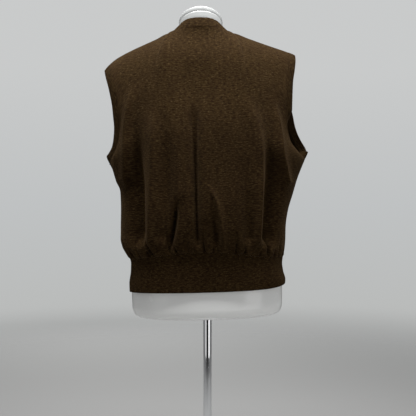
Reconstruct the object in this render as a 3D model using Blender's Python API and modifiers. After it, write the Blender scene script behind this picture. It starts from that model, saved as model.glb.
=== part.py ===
"""A fine-knit sweater vest worn by a limbless dress form on a pole and a round base.

The vest is made the way a knitter makes it: a back panel, a V-necked front panel, two
ribbed hem bands, a neckband and two armhole bands, each a thin wall of its own. The panels
are lofted through horizontal sections of the worn garment, above the armholes they run over
the shoulders, and folds and gathers are worked out from short tables. The dress form is one
smooth solid with a socket in its underside, which the pole stands in.

Metres, +Z up. The front faces -Y and the wearer's left is +X. The origin is on the floor,
in the middle of the base's underside. The tables below are in millimetres.
"""

import math

import bmesh
import bpy
import numpy as np

MM = 0.001
COLLECTION = "sweater_vest_on_dress_form"
CUTTERS = "cutters"

BACK, FRONT = 1, -1
LEFT, RIGHT = 1, -1
SIDE_NAMES = {LEFT: "left", RIGHT: "right"}

# ---- the cloth ----
PANEL_WALL = 2.0
BAND_WALL = 2.4
BAND_CROWN = 0.6
SEAM_GAP = 0.3

# Outline of the worn vest seen from behind: where its side lies at each height.
SIDE_OUTLINE = {
    LEFT: (
        # height, x
        (541.0, 177.0),
        (560.0, 177.6),
        (588.0, 174.2),
        (606.0, 173.8),
        (616.0, 176.4),
        (624.0, 181.0),
        (633.0, 187.4),
        (643.0, 193.4),
        (661.0, 198.2),
        (690.0, 198.2),
        (725.0, 197.8),
        (762.0, 199.0),
        (799.0, 208.0),
    ),
    RIGHT: (
        (556.0, -176.0),
        (569.0, -177.2),
        (588.0, -172.2),
        (606.0, -169.8),
        (624.0, -171.8),
        (643.0, -175.6),
        (661.0, -177.6),
        (690.0, -178.8),
        (725.0, -184.0),
        (762.0, -194.8),
        (799.0, -206.0),
    ),
}

# Depth of the worn vest at its middle, and how square its section is (2 is an ellipse).
DEPTHS = (
    # height, back, front, squareness
    (541.0, 104.0, 101.0, 3.0),
    (570.0, 103.0, 100.0, 3.0),
    (600.0, 102.5, 99.5, 3.0),
    (634.0, 104.5, 101.0, 2.9),
    (645.0, 110.5, 106.0, 2.7),
    (661.0, 117.0, 111.0, 2.5),
    (690.0, 120.5, 114.5, 2.4),
    (760.0, 119.5, 116.5, 2.3),
    (830.0, 119.5, 120.0, 2.2),
    (900.0, 119.5, 122.5, 2.2),
    (960.0, 118.0, 121.0, 2.2),
    (1010.0, 115.0, 118.0, 2.2),
    (1135.0, 108.0, 112.0, 2.2),
)

# The seam of body and hem band, and the hem's edge, from the right side to the left.
HEM_LINES = {
    BACK: (
        # across, seam height, edge height
        (-1.0, 619.0, 563.0),
        (-0.6, 623.0, 554.5),
        (0.0, 634.0, 548.5),
        (0.6, 621.0, 545.0),
        (1.0, 613.0, 541.5),
    ),
    FRONT: (
        (-1.0, 619.0, 563.0),
        (-0.6, 627.0, 557.5),
        (0.0, 633.0, 553.0),
        (0.6, 624.0, 547.0),
        (1.0, 613.0, 541.5),
    ),
}

# ---- neck and shoulders ----
NECK_CENTRE = 16.0
NECK_HALF = 65.5
NECK_DEPTH = {BACK: 58.0, FRONT: 50.0}
NECK_FLATNESS = {BACK: 0.5, FRONT: 1.0}
NECK_FADE = 2.0
NECK_SPREAD = 0.7
NECK_SEAM_HEIGHT = 1132.0
SHOULDER_LINE = (
    # x, height
    (-200.0, 1080.5),
    (-184.0, 1087.0),
    (-140.0, 1101.5),
    (-95.0, 1117.0),
    (-49.5, 1132.0),
    (81.5, 1132.0),
    (120.0, 1114.5),
    (146.0, 1103.0),
    (165.0, 1094.5),
    (204.0, 1074.5),
    (221.0, 1061.5),
    (235.0, 1045.0),
)
# How the cloth rounds over the top at the neck and out on the shoulder, and where one
# passes into the other, in neck halves from the neck's centre.
NECK_ROUNDING = 1.6
SHOULDER_ROUNDING = 0.9
ROUNDING_FROM = 0.45
ROUNDING_SPAN = 0.9
V_POINT_HEIGHT = 925.0
V_CURVE = 1.12
NECKBAND_FREE_HALF = 53.5
NECKBAND_FREE_BACK = 56.5
NECKBAND_FREE_HEIGHT = 1153.5
NECKBAND_V_HEIGHT = 986.0
NECKBAND_EASE = 6.0
MITRE_SHARE = 0.24
MITRE_FAN = 0.1

# ---- armholes: the free edge of each band, and the ways in x and z from it to the seam ----
ARMBAND_WIDTH = 18.0
ARMHOLE_FLATNESS = 0.8
ARMHOLES = {
    LEFT: {
        "lowest": 847.0,
        "highest": 1045.0,
        "reach": {BACK: 54.0, FRONT: 52.0},
        "edge": {
            BACK: (
                # height, x
                (847.0, 231.6),
                (855.0, 223.0),
                (868.0, 214.5),
                (885.0, 210.2),
                (909.0, 208.0),
                (937.0, 210.2),
                (955.0, 212.0),
                (992.0, 219.6),
                (1029.0, 230.5),
                (1045.0, 235.0),
            ),
            FRONT: (
                (847.0, 231.6),
                (868.0, 217.0),
                (909.0, 208.0),
                (955.0, 211.0),
                (1000.0, 222.0),
                (1045.0, 235.0),
            ),
        },
        "to_underarm_seam": (-0.42, -0.91),
        "to_shoulder_seam": (-0.60, 0.80),
    },
    RIGHT: {
        "lowest": 858.5,
        "highest": 1080.0,
        "reach": {BACK: 55.0, FRONT: 54.0},
        "edge": {
            BACK: (
                (858.5, -231.2),
                (864.0, -218.0),
                (876.0, -203.0),
                (900.0, -191.5),
                (925.0, -188.0),
                (974.0, -188.6),
                (1010.0, -190.5),
                (1038.0, -195.0),
                (1066.0, -198.6),
                (1080.0, -199.0),
            ),
            FRONT: (
                (858.5, -231.2),
                (868.0, -230.0),
                (878.0, -226.0),
                (888.0, -221.0),
                (906.0, -213.5),
                (925.0, -207.0),
                (944.0, -203.0),
                (974.0, -197.5),
                (1038.0, -197.0),
                (1080.0, -199.0),
            ),
        },
        "to_underarm_seam": (0.42, -0.91),
        "to_shoulder_seam": (0.92, 0.39),
    },
}
TO_SIDE_SEAM_X = 0.80
TO_SIDE_SEAM_Y = 0.60
LATE_TURN = 3.0

# ---- folds and gathers ----
# Each fold runs down a panel through three points. A negative rise is a trough.
FOLDS = (
    # face, x and height at top, middle and foot, rise, width
    (BACK, 170.0, 1010.0, 184.0, 906.0, 190.0, 775.0, 6.0, 13.0),
    (BACK, 204.0, 870.0, 206.0, 830.0, 199.0, 770.0, 3.5, 9.0),
    (BACK, 158.0, 900.0, 160.0, 780.0, 158.0, 655.0, -8.0, 20.0),
    (BACK, 117.0, 950.0, 118.0, 800.0, 132.0, 642.0, 6.5, 16.0),
    (BACK, 88.0, 900.0, 90.0, 780.0, 100.0, 650.0, -4.5, 15.0),
    (BACK, 63.0, 930.0, 60.0, 840.0, 57.0, 740.0, 3.5, 14.0),
    (BACK, 66.0, 752.0, 73.0, 690.0, 83.0, 636.0, -7.0, 10.0),
    (BACK, 30.0, 995.0, 27.0, 830.0, 23.5, 640.0, -4.0, 7.0),
    (BACK, -4.0, 775.0, -23.0, 730.0, -37.0, 642.0, 3.5, 10.0),
    (BACK, -10.0, 720.0, -15.0, 690.0, -18.0, 642.0, -4.0, 11.0),
    (BACK, -84.0, 985.0, -110.0, 850.0, -108.0, 642.0, 6.5, 16.0),
    (BACK, -88.0, 760.0, -92.0, 700.0, -94.0, 645.0, -4.5, 9.0),
    (BACK, -128.0, 880.0, -136.0, 770.0, -134.0, 650.0, -7.5, 17.0),
    (BACK, -147.0, 985.0, -158.0, 890.0, -184.0, 770.0, 6.0, 13.0),
    (FRONT, 150.0, 980.0, 168.0, 860.0, 164.0, 660.0, 5.5, 17.0),
    (FRONT, 128.0, 900.0, 132.0, 770.0, 128.0, 650.0, -7.0, 19.0),
    (FRONT, 92.0, 930.0, 88.0, 780.0, 98.0, 645.0, 6.0, 16.0),
    (FRONT, 48.0, 850.0, 50.0, 740.0, 60.0, 642.0, -6.0, 12.0),
    (FRONT, 14.0, 890.0, 10.0, 780.0, 16.0, 645.0, 4.5, 15.0),
    (FRONT, -24.0, 830.0, -30.0, 730.0, -26.0, 642.0, -5.5, 11.0),
    (FRONT, -70.0, 950.0, -74.0, 800.0, -66.0, 645.0, 6.0, 16.0),
    (FRONT, -108.0, 880.0, -112.0, 760.0, -104.0, 650.0, -7.0, 17.0),
    (FRONT, -136.0, 990.0, -150.0, 860.0, -146.0, 660.0, 6.0, 15.0),
)
FOLD_FADE_TOP = 70.0
FOLD_FADE_FOOT = 22.0
FOLD_FADE_SIDE = 0.1
# Gathers stand on every second column above the hem seam, as uneven as this table.
GATHER_RISE = 2.3
GATHER_VALLEY = -0.6
GATHER_SPACING = 8.0
GATHER_UNEVEN = (1.0, 0.55, 0.85, 1.25, 0.7, 1.1, 0.45, 0.95, 1.3, 0.6, 0.8)
GATHER_HEIGHTS = (0.0, 7.0, 17.0, 30.0, 46.0)
GATHER_SWELL = (0.0, 1.0, 0.85, 0.5, 0.15)

# ---- the mesh of a panel ----
COLUMNS_SHOULDER = 14
NECK_PLACES = {
    BACK: (0.0, 0.17, 0.34, 0.5, 0.66, 0.82, 0.93, 1.0),
    FRONT: (0.0, 0.13, 0.26, 0.4, 0.55, 0.7, 0.83, 0.92, 0.975, 1.0),
}
ROWS_BODY = 9
ROWS_UPPER = 14
ROWS_HEM_BAND = 4
NECK_ACROSS = 0.3228
# The rows above the armholes run from 0 at the underarm to 1 at the shoulder. Their wrap
# falls to the first value and then to the second, they start to narrow at a share of the
# way, and their heights follow a sine of that way to a power, or are even below the V.
UPPER_SECTION_HEIGHT = 900.0
WRAP_AT_ARMHOLE = 0.66
WRAP_AT_SHOULDER = 0.12
WRAP_CHANGE = 0.45
NARROW_FROM = 0.4
ROW_POWER = 1.15
EVEN_WITHIN = 0.45
EVEN_FADE = 0.2
END_PULL_POWER = 2.5

# ---- dress form, pole and base ----
FORM_BOTTOM = 486.0
FORM_LEAN = math.radians(1.35)
FORM_SIDES = 36
FORM_RINGS = (
    # height above its bottom, half width, back, front, squareness, slant to the front
    (0.0, 148.0, 80.0, 76.0, 2.3, 0.0),
    (2.5, 159.0, 89.0, 85.0, 2.3, 0.0),
    (9.0, 167.0, 95.0, 91.0, 2.3, 0.0),
    (23.0, 171.0, 97.5, 93.5, 2.3, 0.0),
    (60.0, 172.0, 98.0, 94.0, 2.3, 0.0),
    (115.0, 166.0, 96.0, 91.0, 2.3, 0.0),
    (185.0, 152.0, 92.0, 86.0, 2.2, 0.0),
    (250.0, 144.0, 92.0, 87.0, 2.1, 0.0),
    (320.0, 150.0, 98.0, 96.0, 2.1, 0.0),
    (390.0, 162.0, 103.0, 104.0, 2.1, 0.0),
    (450.0, 170.0, 102.0, 103.0, 2.1, 0.0),
    (505.0, 175.0, 89.0, 90.0, 2.1, 0.0),
    (545.0, 176.5, 75.0, 76.0, 2.1, 0.0),
    (572.0, 175.0, 65.0, 64.0, 2.1, 0.0),
    (593.0, 169.0, 59.5, 57.0, 2.0, 0.0),
    (604.5, 154.0, 55.5, 53.0, 1.9, 0.0),
    (616.8, 133.0, 50.5, 49.0, 1.62, 0.0),
    (630.0, 98.5, 48.0, 47.0, 1.5, 0.03),
    (640.0, 64.5, 46.5, 46.0, 1.5, 0.1),
    (648.0, 52.5, 47.5, 46.5, 1.8, 0.22),
    (656.0, 50.0, 49.0, 47.0, 2.0, 0.35),
    (668.0, 50.0, 49.0, 47.5, 2.0, 0.43),
    (672.0, 49.0, 48.0, 46.5, 2.0, 0.45),
    (673.5, 46.5, 46.0, 44.5, 2.0, 0.45),
)
SOCKET_RADIUS = 9.8
SOCKET_DEPTH = 62.0

POLE_RADIUS = 9.5
POLE_SIDES = 32
BASE_RADIUS = 170.0
BASE_PLATE = 8.0
BASE_EDGE = 3.0
HUB_RADIUS = 19.0
HUB_HEIGHT = 36.0
HUB_EDGE = 2.0
HUB_FLOOR = 6.0
BASE_STEPS = 48
MERGE_DISTANCE = 0.0001
SHARP_ANGLE = math.radians(40)

# ---- finishes: colour, roughness, metallic ----
WOOL = (0.036, 0.021, 0.009)
WOOL_RIB = (0.030, 0.018, 0.008)
FINISHES = {
    "panel_wool": (WOOL, 0.95, 0.0),
    "rib_wool": (WOOL_RIB, 0.95, 0.0),
    "form_gloss": ((0.78, 0.79, 0.78), 0.18, 0.0),
    "pole_chrome": ((0.75, 0.76, 0.78), 0.12, 1.0),
    "base_steel": ((0.55, 0.56, 0.58), 0.3, 1.0),
}


# ---------------------------------------------------------------- small mathematics


def curve(at, table, column=1):
    """A smooth curve through a table's rows, read at one value or an array of them."""
    knots = np.array([row[0] for row in table], float)
    values = np.array([row[column] for row in table], float)
    at = np.clip(np.asarray(at, float), knots[0], knots[-1])
    steps = np.diff(knots)
    slopes = np.diff(values) / steps
    tangents = np.empty_like(values)
    tangents[0], tangents[-1] = slopes[0], slopes[-1]
    same_way = slopes[1:] * slopes[:-1] > 0
    mean = 2 * slopes[1:] * slopes[:-1] / np.where(same_way, slopes[1:] + slopes[:-1], 1.0)
    tangents[1:-1] = np.where(same_way, mean, 0.0)
    piece = np.clip(np.searchsorted(knots, at, side="right") - 1, 0, len(steps) - 1)
    step = steps[piece]
    t = (at - knots[piece]) / step
    return (
        (2 * t**3 - 3 * t**2 + 1) * values[piece]
        + (t**3 - 2 * t**2 + t) * step * tangents[piece]
        + (3 * t**2 - 2 * t**3) * values[piece + 1]
        + (t**3 - t**2) * step * tangents[piece + 1]
    )


def smooth(t):
    """0 below 0, 1 above 1, and a soft step between."""
    t = np.clip(t, 0.0, 1.0)
    return t * t * (3 - 2 * t)


def unit(vectors):
    """The vectors at length 1."""
    vectors = np.asarray(vectors, float)
    return vectors / np.linalg.norm(vectors, axis=-1, keepdims=True)


def square_to(vector, ways):
    """A vector turned until it is at right angles to one way or two."""
    if len(ways) == 2:
        both = np.cross(*ways)
        return both * np.sign(both.dot(vector))
    way = unit(ways[0])
    return vector - way * vector.dot(way)


def section(across, wrap, squareness):
    """Width and depth, each 0 to 1, at places from -1 to 1 across a section of the body.

    A wrap of 1 is half a superellipse, which closes at the side seams; a smaller wrap is
    its middle stretch, which ends at the armholes.
    """
    power = 2.0 / squareness
    turn = 0.5 * math.pi * wrap
    angle = turn * np.sign(across) * np.abs(across) ** (squareness / 2.0)
    width = np.sign(angle) * np.abs(np.sin(angle)) ** power / np.sin(turn) ** power
    end = np.maximum(np.cos(turn), 0.0) ** power
    depth = (np.maximum(np.cos(angle), 0.0) ** power - end) / (1.0 - end)
    return width, depth


# ---------------------------------------------------------------- the shape of the vest


def armhole_edge(side, face, turn):
    """The free edge of an armhole band; turn runs from 0 at the underarm to pi at the top."""
    hole = ARMHOLES[side]
    height = hole["lowest"] + (hole["highest"] - hole["lowest"]) * (1 - np.cos(turn)) / 2
    x = curve(height, hole["edge"][face])
    reach = hole["reach"][face] * np.maximum(np.sin(turn), 0.0) ** ARMHOLE_FLATNESS
    return np.stack([x, face * reach, height], axis=-1)


def way_to_seam(side, face, turn):
    """The direction from the free edge across the armhole band to its seam.

    Below the middle of the armhole it turns inwards late, as the cloth curves round there.
    """
    hole = ARMHOLES[side]
    below = np.cos(turn) > 0
    to_end_x = np.where(below, hole["to_underarm_seam"][0], hole["to_shoulder_seam"][0])
    to_end_z = np.where(below, hole["to_underarm_seam"][1], hole["to_shoulder_seam"][1])
    level, upright = np.abs(np.cos(turn)), np.maximum(np.sin(turn), 0.0)
    late = np.where(below, LATE_TURN, 1.0)
    x = to_end_x * level**late - side * TO_SIDE_SEAM_X * upright**late
    return unit(np.stack([x, face * TO_SIDE_SEAM_Y * upright, to_end_z * level], axis=-1))


def armhole_seam(side, face, turn):
    """The seam of panel and armhole band."""
    return armhole_edge(side, face, turn) + ARMBAND_WIDTH * way_to_seam(side, face, turn)


def side_x(side, height):
    """Where the body's side seam lies at a height, up to the armhole band."""
    top = armhole_seam(side, BACK, np.array(0.0))
    return curve(height, SIDE_OUTLINE[side] + ((float(top[2]), float(top[0])),))


def body_point(face, across, height):
    """Points of a panel below the armholes, and of a hem band."""
    squareness = curve(height, DEPTHS, 3)
    width, depth = section(across, 1.0, squareness)
    left, right = side_x(LEFT, height), side_x(RIGHT, height)
    x = (left + right) / 2 + (left - right) / 2 * width
    column = 1 if face == BACK else 2
    y = face * curve(height, DEPTHS, column) * depth
    return np.stack([x, y, height], axis=-1)


def neck_depth(face, x, share):
    """How far the neck holds the cloth out; share runs from 0 at its seam to 1 far below."""
    half = NECK_HALF * (1.0 + NECK_SPREAD * share)
    inside = np.maximum(1.0 - ((x - NECK_CENTRE) / half) ** 2, 0.0)
    return NECK_DEPTH[face] * inside ** NECK_FLATNESS[face] * (1.0 - share) ** NECK_FADE


def over_shoulder(face, x, height, foot):
    """Depth of the cloth above the armholes, where it comes in towards neck and shoulder."""
    from_neck = np.abs(x - NECK_CENTRE)
    rise = np.clip((height - foot) / (curve(x, SHOULDER_LINE) - foot), 0.0, 1.0)
    blend = smooth((from_neck / NECK_HALF - ROUNDING_FROM) / ROUNDING_SPAN)
    rounding = NECK_ROUNDING + (SHOULDER_ROUNDING - NECK_ROUNDING) * blend
    share = (1.0 - rise**2) ** (rounding / 2)
    column = 1 if face == BACK else 2
    return face * (neck_depth(face, x, share) + curve(height, DEPTHS, column) * share)


def panel_top(face, across):
    """X and height of a panel's upper edge: shoulder seams, and the neck or the V."""
    left = armhole_seam(LEFT, face, np.array(math.pi))
    right = armhole_seam(RIGHT, face, np.array(math.pi))
    outer = (np.abs(across) - NECK_ACROSS) / (1 - NECK_ACROSS)
    tip = np.where(across > 0, left[0], right[0])
    neck_point = NECK_CENTRE + np.sign(across) * NECK_HALF
    x_shoulder = neck_point + (tip - neck_point) * outer
    x_neck = NECK_CENTRE + NECK_HALF * across / NECK_ACROSS
    in_neck = np.abs(across) <= NECK_ACROSS + 1e-9
    x = np.where(in_neck, x_neck, x_shoulder)
    height = curve(x, SHOULDER_LINE)
    if face == BACK:
        neck_line = np.full_like(x, NECK_SEAM_HEIGHT)
    else:
        open_share = np.clip(np.abs(across) / NECK_ACROSS, 0.0, 1.0) ** V_CURVE
        neck_line = V_POINT_HEIGHT + (NECK_SEAM_HEIGHT - V_POINT_HEIGHT) * open_share
    return x, np.where(in_neck, neck_line, height)


def underarm_height(across):
    """The level where a panel's armholes begin, lower on the left."""
    left = armhole_seam(LEFT, BACK, np.array(0.0))[2]
    right = armhole_seam(RIGHT, BACK, np.array(0.0))[2]
    return (left + right) / 2 + (left - right) / 2 * across


def upper_row(face, across, rise):
    """One row of a panel above the armholes; rise runs from 0 at them to 1 at the top."""
    turn = np.array(math.pi * rise)
    left, right = armhole_seam(LEFT, face, turn), armhole_seam(RIGHT, face, turn)
    squareness = float(curve(UPPER_SECTION_HEIGHT, DEPTHS, 3))
    wrap = 1.0 + (WRAP_AT_ARMHOLE - 1.0) * smooth(rise / WRAP_CHANGE)
    late = smooth((rise - WRAP_CHANGE) / (1 - WRAP_CHANGE))
    wrap += (WRAP_AT_SHOULDER - WRAP_AT_ARMHOLE) * late
    width, depth = section(across, wrap, squareness)
    top_x, top_height = panel_top(face, across)
    ends_x, ends_top = panel_top(face, np.array([-1.0, 1.0]))
    x = (left[0] + right[0]) / 2 + (left[0] - right[0]) / 2 * width
    narrowed = np.interp(top_x, ends_x, [right[0], left[0]])
    x = x + (narrowed - x) * smooth((rise - NARROW_FROM) / (1 - NARROW_FROM))
    foot = underarm_height(across)
    over_top = math.sin(0.5 * math.pi * rise**ROW_POWER)
    below_v = smooth((EVEN_WITHIN - np.abs(across)) / EVEN_FADE) if face == FRONT else 0.0
    share = over_top + (rise - over_top) * below_v
    height = foot + (top_height - foot) * share
    ends_foot = underarm_height(np.array([-1.0, 1.0]))
    for end, edge, on_side in ((0, right, across <= 0), (1, left, across > 0)):
        level = ends_foot[end] + (ends_top[end] - ends_foot[end]) * over_top
        pull = (edge[2] - level) * np.abs(across) ** END_PULL_POWER
        height = height + np.where(on_side, pull, 0.0)
    y = over_shoulder(face, x, height, foot)
    for end, edge, on_side in ((0, right, across <= 0), (1, left, across > 0)):
        free = over_shoulder(face, edge[0], edge[2], ends_foot[end])
        y = y + np.where(on_side, (edge[1] - free) * (1 - depth), 0.0)
    return np.stack([x, y, height], axis=-1)


def fold_rise(face, points):
    """How far the folds lift the cloth at each point, troughs being negative."""
    x, height = points[:, 0], points[:, 2]
    lift = np.zeros(len(points))
    for on, x1, z1, x2, z2, x3, z3, rise, width in FOLDS:
        if on != face:
            continue
        path = curve(height, ((z3, x3), (z2, x2), (z1, x1)))
        fade = smooth((z1 - height) / FOLD_FADE_TOP) * smooth((height - z3) / FOLD_FADE_FOOT)
        lift += rise * np.exp(-(((x - path) / width) ** 2)) * fade
    return lift


# ---------------------------------------------------------------- meshes of cloth


def split(corners, points):
    """Two triangles for four corners, parted along the shorter diagonal.

    Both faces of a wall, and both edges at a seam, are then bent alike.
    """
    a, b, c, d = corners
    rising = np.linalg.norm(points[c] - points[a])
    falling = np.linalg.norm(points[d] - points[b])
    return ((a, b, c), (a, c, d)) if rising < falling else ((a, b, d), (b, c, d))


def between(lower, upper, points):
    """The triangles between two rows of points, where the lower may have twice the columns."""
    if len(lower) == len(upper):
        for corners in zip(lower[:-1], lower[1:], upper[1:], upper[:-1]):
            yield from split(corners, points)
    else:
        for k, (right, left) in enumerate(zip(upper[:-1], upper[1:])):
            a, b, c = lower[2 * k : 2 * k + 3]
            yield from ((a, b, right), (b, left, right), (b, c, left))


class ClothWall:
    """Rows of points on the outer face of a piece of cloth, which become a closed wall."""

    def __init__(self, face):
        self.face = face
        self.rows = []
        self.seam_ways = []

    def add_row(self, points, seam_ways):
        """A row from right to left, with the seam directions of the points on an edge."""
        self.rows.append(np.array(points, float))
        self.seam_ways.append(seam_ways)

    def faces(self):
        """Outer faces as tuples of point numbers, facing away from the body."""
        points = np.concatenate(self.rows)
        starts = np.cumsum([0] + [len(row) for row in self.rows])
        numbers = [list(range(a, b)) for a, b in zip(starts[:-1], starts[1:])]
        for lower, upper in zip(numbers[:-1], numbers[1:]):
            for corners in between(lower, upper, points):
                yield corners if self.face == FRONT else corners[::-1]

    def normals(self):
        """Each point's outward direction, at right angles to the seams that it lies on."""
        points = np.concatenate(self.rows)
        normals = np.zeros_like(points)
        for corners in self.faces():
            a, b, c = points[list(corners)]
            normals[list(corners)] += np.cross(b - a, c - a)
        start = 0
        for row, ways in zip(self.rows, self.seam_ways):
            for column, seams in ways.items():
                normals[start + column] = square_to(normals[start + column], seams)
            start += len(row)
        return unit(normals)

    def lift(self, amounts):
        """Move each row's points outwards by the amounts given for it."""
        normals = self.normals()
        number = 0
        for row, amount in zip(self.rows, amounts):
            row += normals[number : number + len(row)] * np.asarray(amount)[:, None]
            number += len(row)

    def build(self, name, wall, finish):
        """The closed wall as an object: outer face, inner face and the edges between."""
        outer = np.concatenate(self.rows)
        inner = outer - wall * self.normals()
        points = np.concatenate([outer, inner])
        faces = list(self.faces())
        triangles = faces + [[k + len(outer) for k in reversed(face)] for face in faces]
        sides = {(a, b) for face in faces for a, b in zip(face, (*face[1:], face[0]))}
        for a, b in sides:
            if (b, a) not in sides:
                triangles += split((b, a, a + len(outer), b + len(outer)), points)
        return object_from(mesh_of(points, triangles), name, finish)


def columns_across(face, doubled):
    """Places across a panel, with one exactly at each end of the shoulder seams."""
    shoulder = np.linspace(NECK_ACROSS, 1.0, COLUMNS_SHOULDER + 1)
    neck = NECK_ACROSS * np.array(NECK_PLACES[face][:-1])
    across = np.concatenate([-shoulder[::-1], -neck[:0:-1], neck, shoulder])
    if doubled:
        middles = (across[1:] + across[:-1]) / 2
        across = np.sort(np.concatenate([across, middles]))
    return across


def neck_free_edge(face, across):
    """The neckband's free edge, at the same places as the panel's neck edge."""
    share = across / NECK_ACROSS
    if face == BACK:
        x = NECK_CENTRE + NECKBAND_FREE_HALF * share
        y = NECKBAND_FREE_BACK * np.sqrt(np.maximum(1 - share**2, 0.0))
        return np.stack([x, y, np.full_like(x, NECKBAND_FREE_HEIGHT)], axis=-1)
    past_mitre = np.maximum(np.abs(share) - MITRE_SHARE, 0.0) / (1 - MITRE_SHARE)
    share = np.sign(share) * (MITRE_FAN * np.abs(share) + (1 - MITRE_FAN) * past_mitre)
    x = NECK_CENTRE + NECKBAND_FREE_HALF * share
    fall = NECKBAND_FREE_HEIGHT - NECKBAND_V_HEIGHT
    height = NECKBAND_V_HEIGHT + fall * np.abs(share) ** V_CURVE
    y = -form_depth(x, height, NECKBAND_EASE)
    y[np.abs(share) > 1 - 1e-9] = 0.0
    return np.stack([x, y, height], axis=-1)


def neck_seam(face, across):
    """The seam of panel and neckband."""
    return upper_row(face, across, 1.0) if face == BACK else v_seam(across)


def square_ways(seam, free):
    """The ways from a closed seam towards a free edge, square to the seam.

    They are 1 long, and longer at a corner, so that a gap stays as wide there.
    """
    before = unit(seam - np.roll(seam, 1, axis=0))
    after = np.roll(before, -1, axis=0)
    raw = free - seam
    legs = [unit(raw - t * (raw * t).sum(axis=1, keepdims=True)) for t in (before, after)]
    middle = unit(legs[0] + legs[1])
    return middle / (middle * legs[0]).sum(axis=1, keepdims=True)


def neck_loop():
    """The neck all round from the left corner over the back.

    Gives the seam, the free edge, the ways between them and the directions along the seam.
    """
    seam, free = [], []
    for face in (BACK, FRONT):
        across = neck_columns(face)
        run = across[::-1][:-1] if face == BACK else across[:-1]
        seam.append(neck_seam(face, run))
        free.append(neck_free_edge(face, run))
    seam, free = np.concatenate(seam), np.concatenate(free)
    along = np.roll(seam, -1, axis=0) - np.roll(seam, 1, axis=0)
    along[[0, len(neck_columns(BACK)) - 1]] = (0.0, 1.0, 0.0), (0.0, -1.0, 0.0)
    return seam, free, square_ways(seam, free), along


def neck_columns(face):
    """Places across a panel's neck edge, from the right corner to the left."""
    across = columns_across(face, False)
    return across[np.abs(across) < NECK_ACROSS + 1e-9]


def neck_edge(face):
    """A panel's neck edge from the right corner to the left, as neck_loop gives it."""
    seam, _, ways, along = neck_loop()
    right_corner = len(neck_columns(BACK)) - 1
    if face == BACK:
        order = list(range(right_corner, -1, -1))
    else:
        order = list(range(right_corner, len(seam))) + [0]
    return seam[order], ways[order], along[order]


def v_seam(across):
    """The front panel's V edge, on the front's own surface."""
    x, height = panel_top(FRONT, across)
    y = over_shoulder(FRONT, x, height, underarm_height(across))
    return np.stack([x, y, height], axis=-1)


def panel(face, name):
    """A back or front panel from the hem seam to the shoulder seams."""
    cloth = ClothWall(face)
    lifts = []
    fine, coarse = columns_across(face, True), columns_across(face, False)
    half_gap = SEAM_GAP / 2
    y_way, z_way = (0.0, 1.0, 0.0), (0.0, 0.0, 1.0)

    def add(points, across, lift, ways):
        points = np.array(points)
        edge_fade = smooth((1 - np.abs(across)) / FOLD_FADE_SIDE)
        cloth.add_row(points, ways)
        lifts.append((lift + fold_rise(face, points)) * edge_fade)

    def sides(across):
        return {0: [y_way], len(across) - 1: [y_way]}

    seam_low = curve(fine, HEM_LINES[face], 1) + half_gap
    for height, swell in zip(GATHER_HEIGHTS, GATHER_SWELL):
        points = body_point(face, fine, seam_low + height)
        points[[0, -1], 1] = face * half_gap
        ridge = np.where(np.arange(len(fine)) % 2 == 1, 1.0, GATHER_VALLEY)
        uneven = np.resize(np.repeat(GATHER_UNEVEN, 2), len(fine))
        apart = np.linalg.norm(np.gradient(points, axis=0), axis=1)
        uneven = uneven * np.minimum(apart / GATHER_SPACING, 1.0)
        ways = sides(fine)
        if height == 0.0:
            ways = {k: ways.get(k, []) + [z_way] for k in range(len(fine))}
        add(points, fine, GATHER_RISE * swell * ridge * uneven, ways)
    foot = curve(coarse, HEM_LINES[face], 1) + half_gap + GATHER_HEIGHTS[-1]
    top = underarm_height(coarse)
    for row in range(1, ROWS_BODY + 1):
        points = body_point(face, coarse, foot + (top - foot) * row / ROWS_BODY)
        points[[0, -1], 1] = face * half_gap
        ways = sides(coarse)
        if row == ROWS_BODY:
            for side, column in ((RIGHT, 0), (LEFT, len(coarse) - 1)):
                way = way_to_seam(side, face, np.array(0.0))
                points[column] += half_gap * way
                ways[column] = [y_way, way]
        add(points, coarse, 0.0, ways)
    for row in range(1, ROWS_UPPER + 1):
        rise = row / ROWS_UPPER
        points = upper_row(face, coarse, rise)
        ways = {}
        for side, column in ((RIGHT, 0), (LEFT, len(coarse) - 1)):
            before, here, after = math.pi * (rise + np.array([-1.0, 0.0, 1.0]) / ROWS_UPPER)
            way = way_to_seam(side, face, np.array(here))
            along = armhole_seam(side, face, after) - armhole_seam(side, face, before)
            points[column] += half_gap * way
            ways[column] = [way, along]
        if row == ROWS_UPPER:
            finish_top_row(face, coarse, points, ways)
        add(points, coarse, 0.0, ways)
    cloth.lift(lifts)
    return cloth.build(name, PANEL_WALL, "panel_wool")


def finish_top_row(face, across, points, ways):
    """Set the top row on the shoulder seams and the neck seam, half a gap short of them."""
    half_gap = SEAM_GAP / 2
    in_neck = np.flatnonzero(np.abs(across) < NECK_ACROSS + 1e-9)
    for column, seam, way, along in zip(in_neck, *neck_edge(face)):
        points[column] = seam - half_gap * way
        ways[column] = [way, along]
    on_shoulder = np.abs(across) > NECK_ACROSS - 1e-9
    points[on_shoulder, 1] = face * half_gap
    for column in np.flatnonzero(on_shoulder):
        ways[column] = [(0.0, 1.0, 0.0)] + ways.get(column, [])[:1]


def hem_band(face, name):
    """A ribbed band along the foot of a panel."""
    cloth = ClothWall(face)
    across = columns_across(face, False)
    seam = curve(across, HEM_LINES[face], 1) - SEAM_GAP / 2
    edge = curve(across, HEM_LINES[face], 2)
    for row in range(ROWS_HEM_BAND + 1):
        points = body_point(face, across, edge + (seam - edge) * row / ROWS_HEM_BAND)
        points[[0, -1], 1] = face * SEAM_GAP / 2
        ways = {0: [(0.0, 1.0, 0.0)], len(across) - 1: [(0.0, 1.0, 0.0)]}
        if row in (0, ROWS_HEM_BAND):
            ways = {k: ways.get(k, []) + [(0.0, 0.0, 1.0)] for k in range(len(across))}
        cloth.add_row(points, ways)
    return cloth.build(name, BAND_WALL, "rib_wool")


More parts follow.
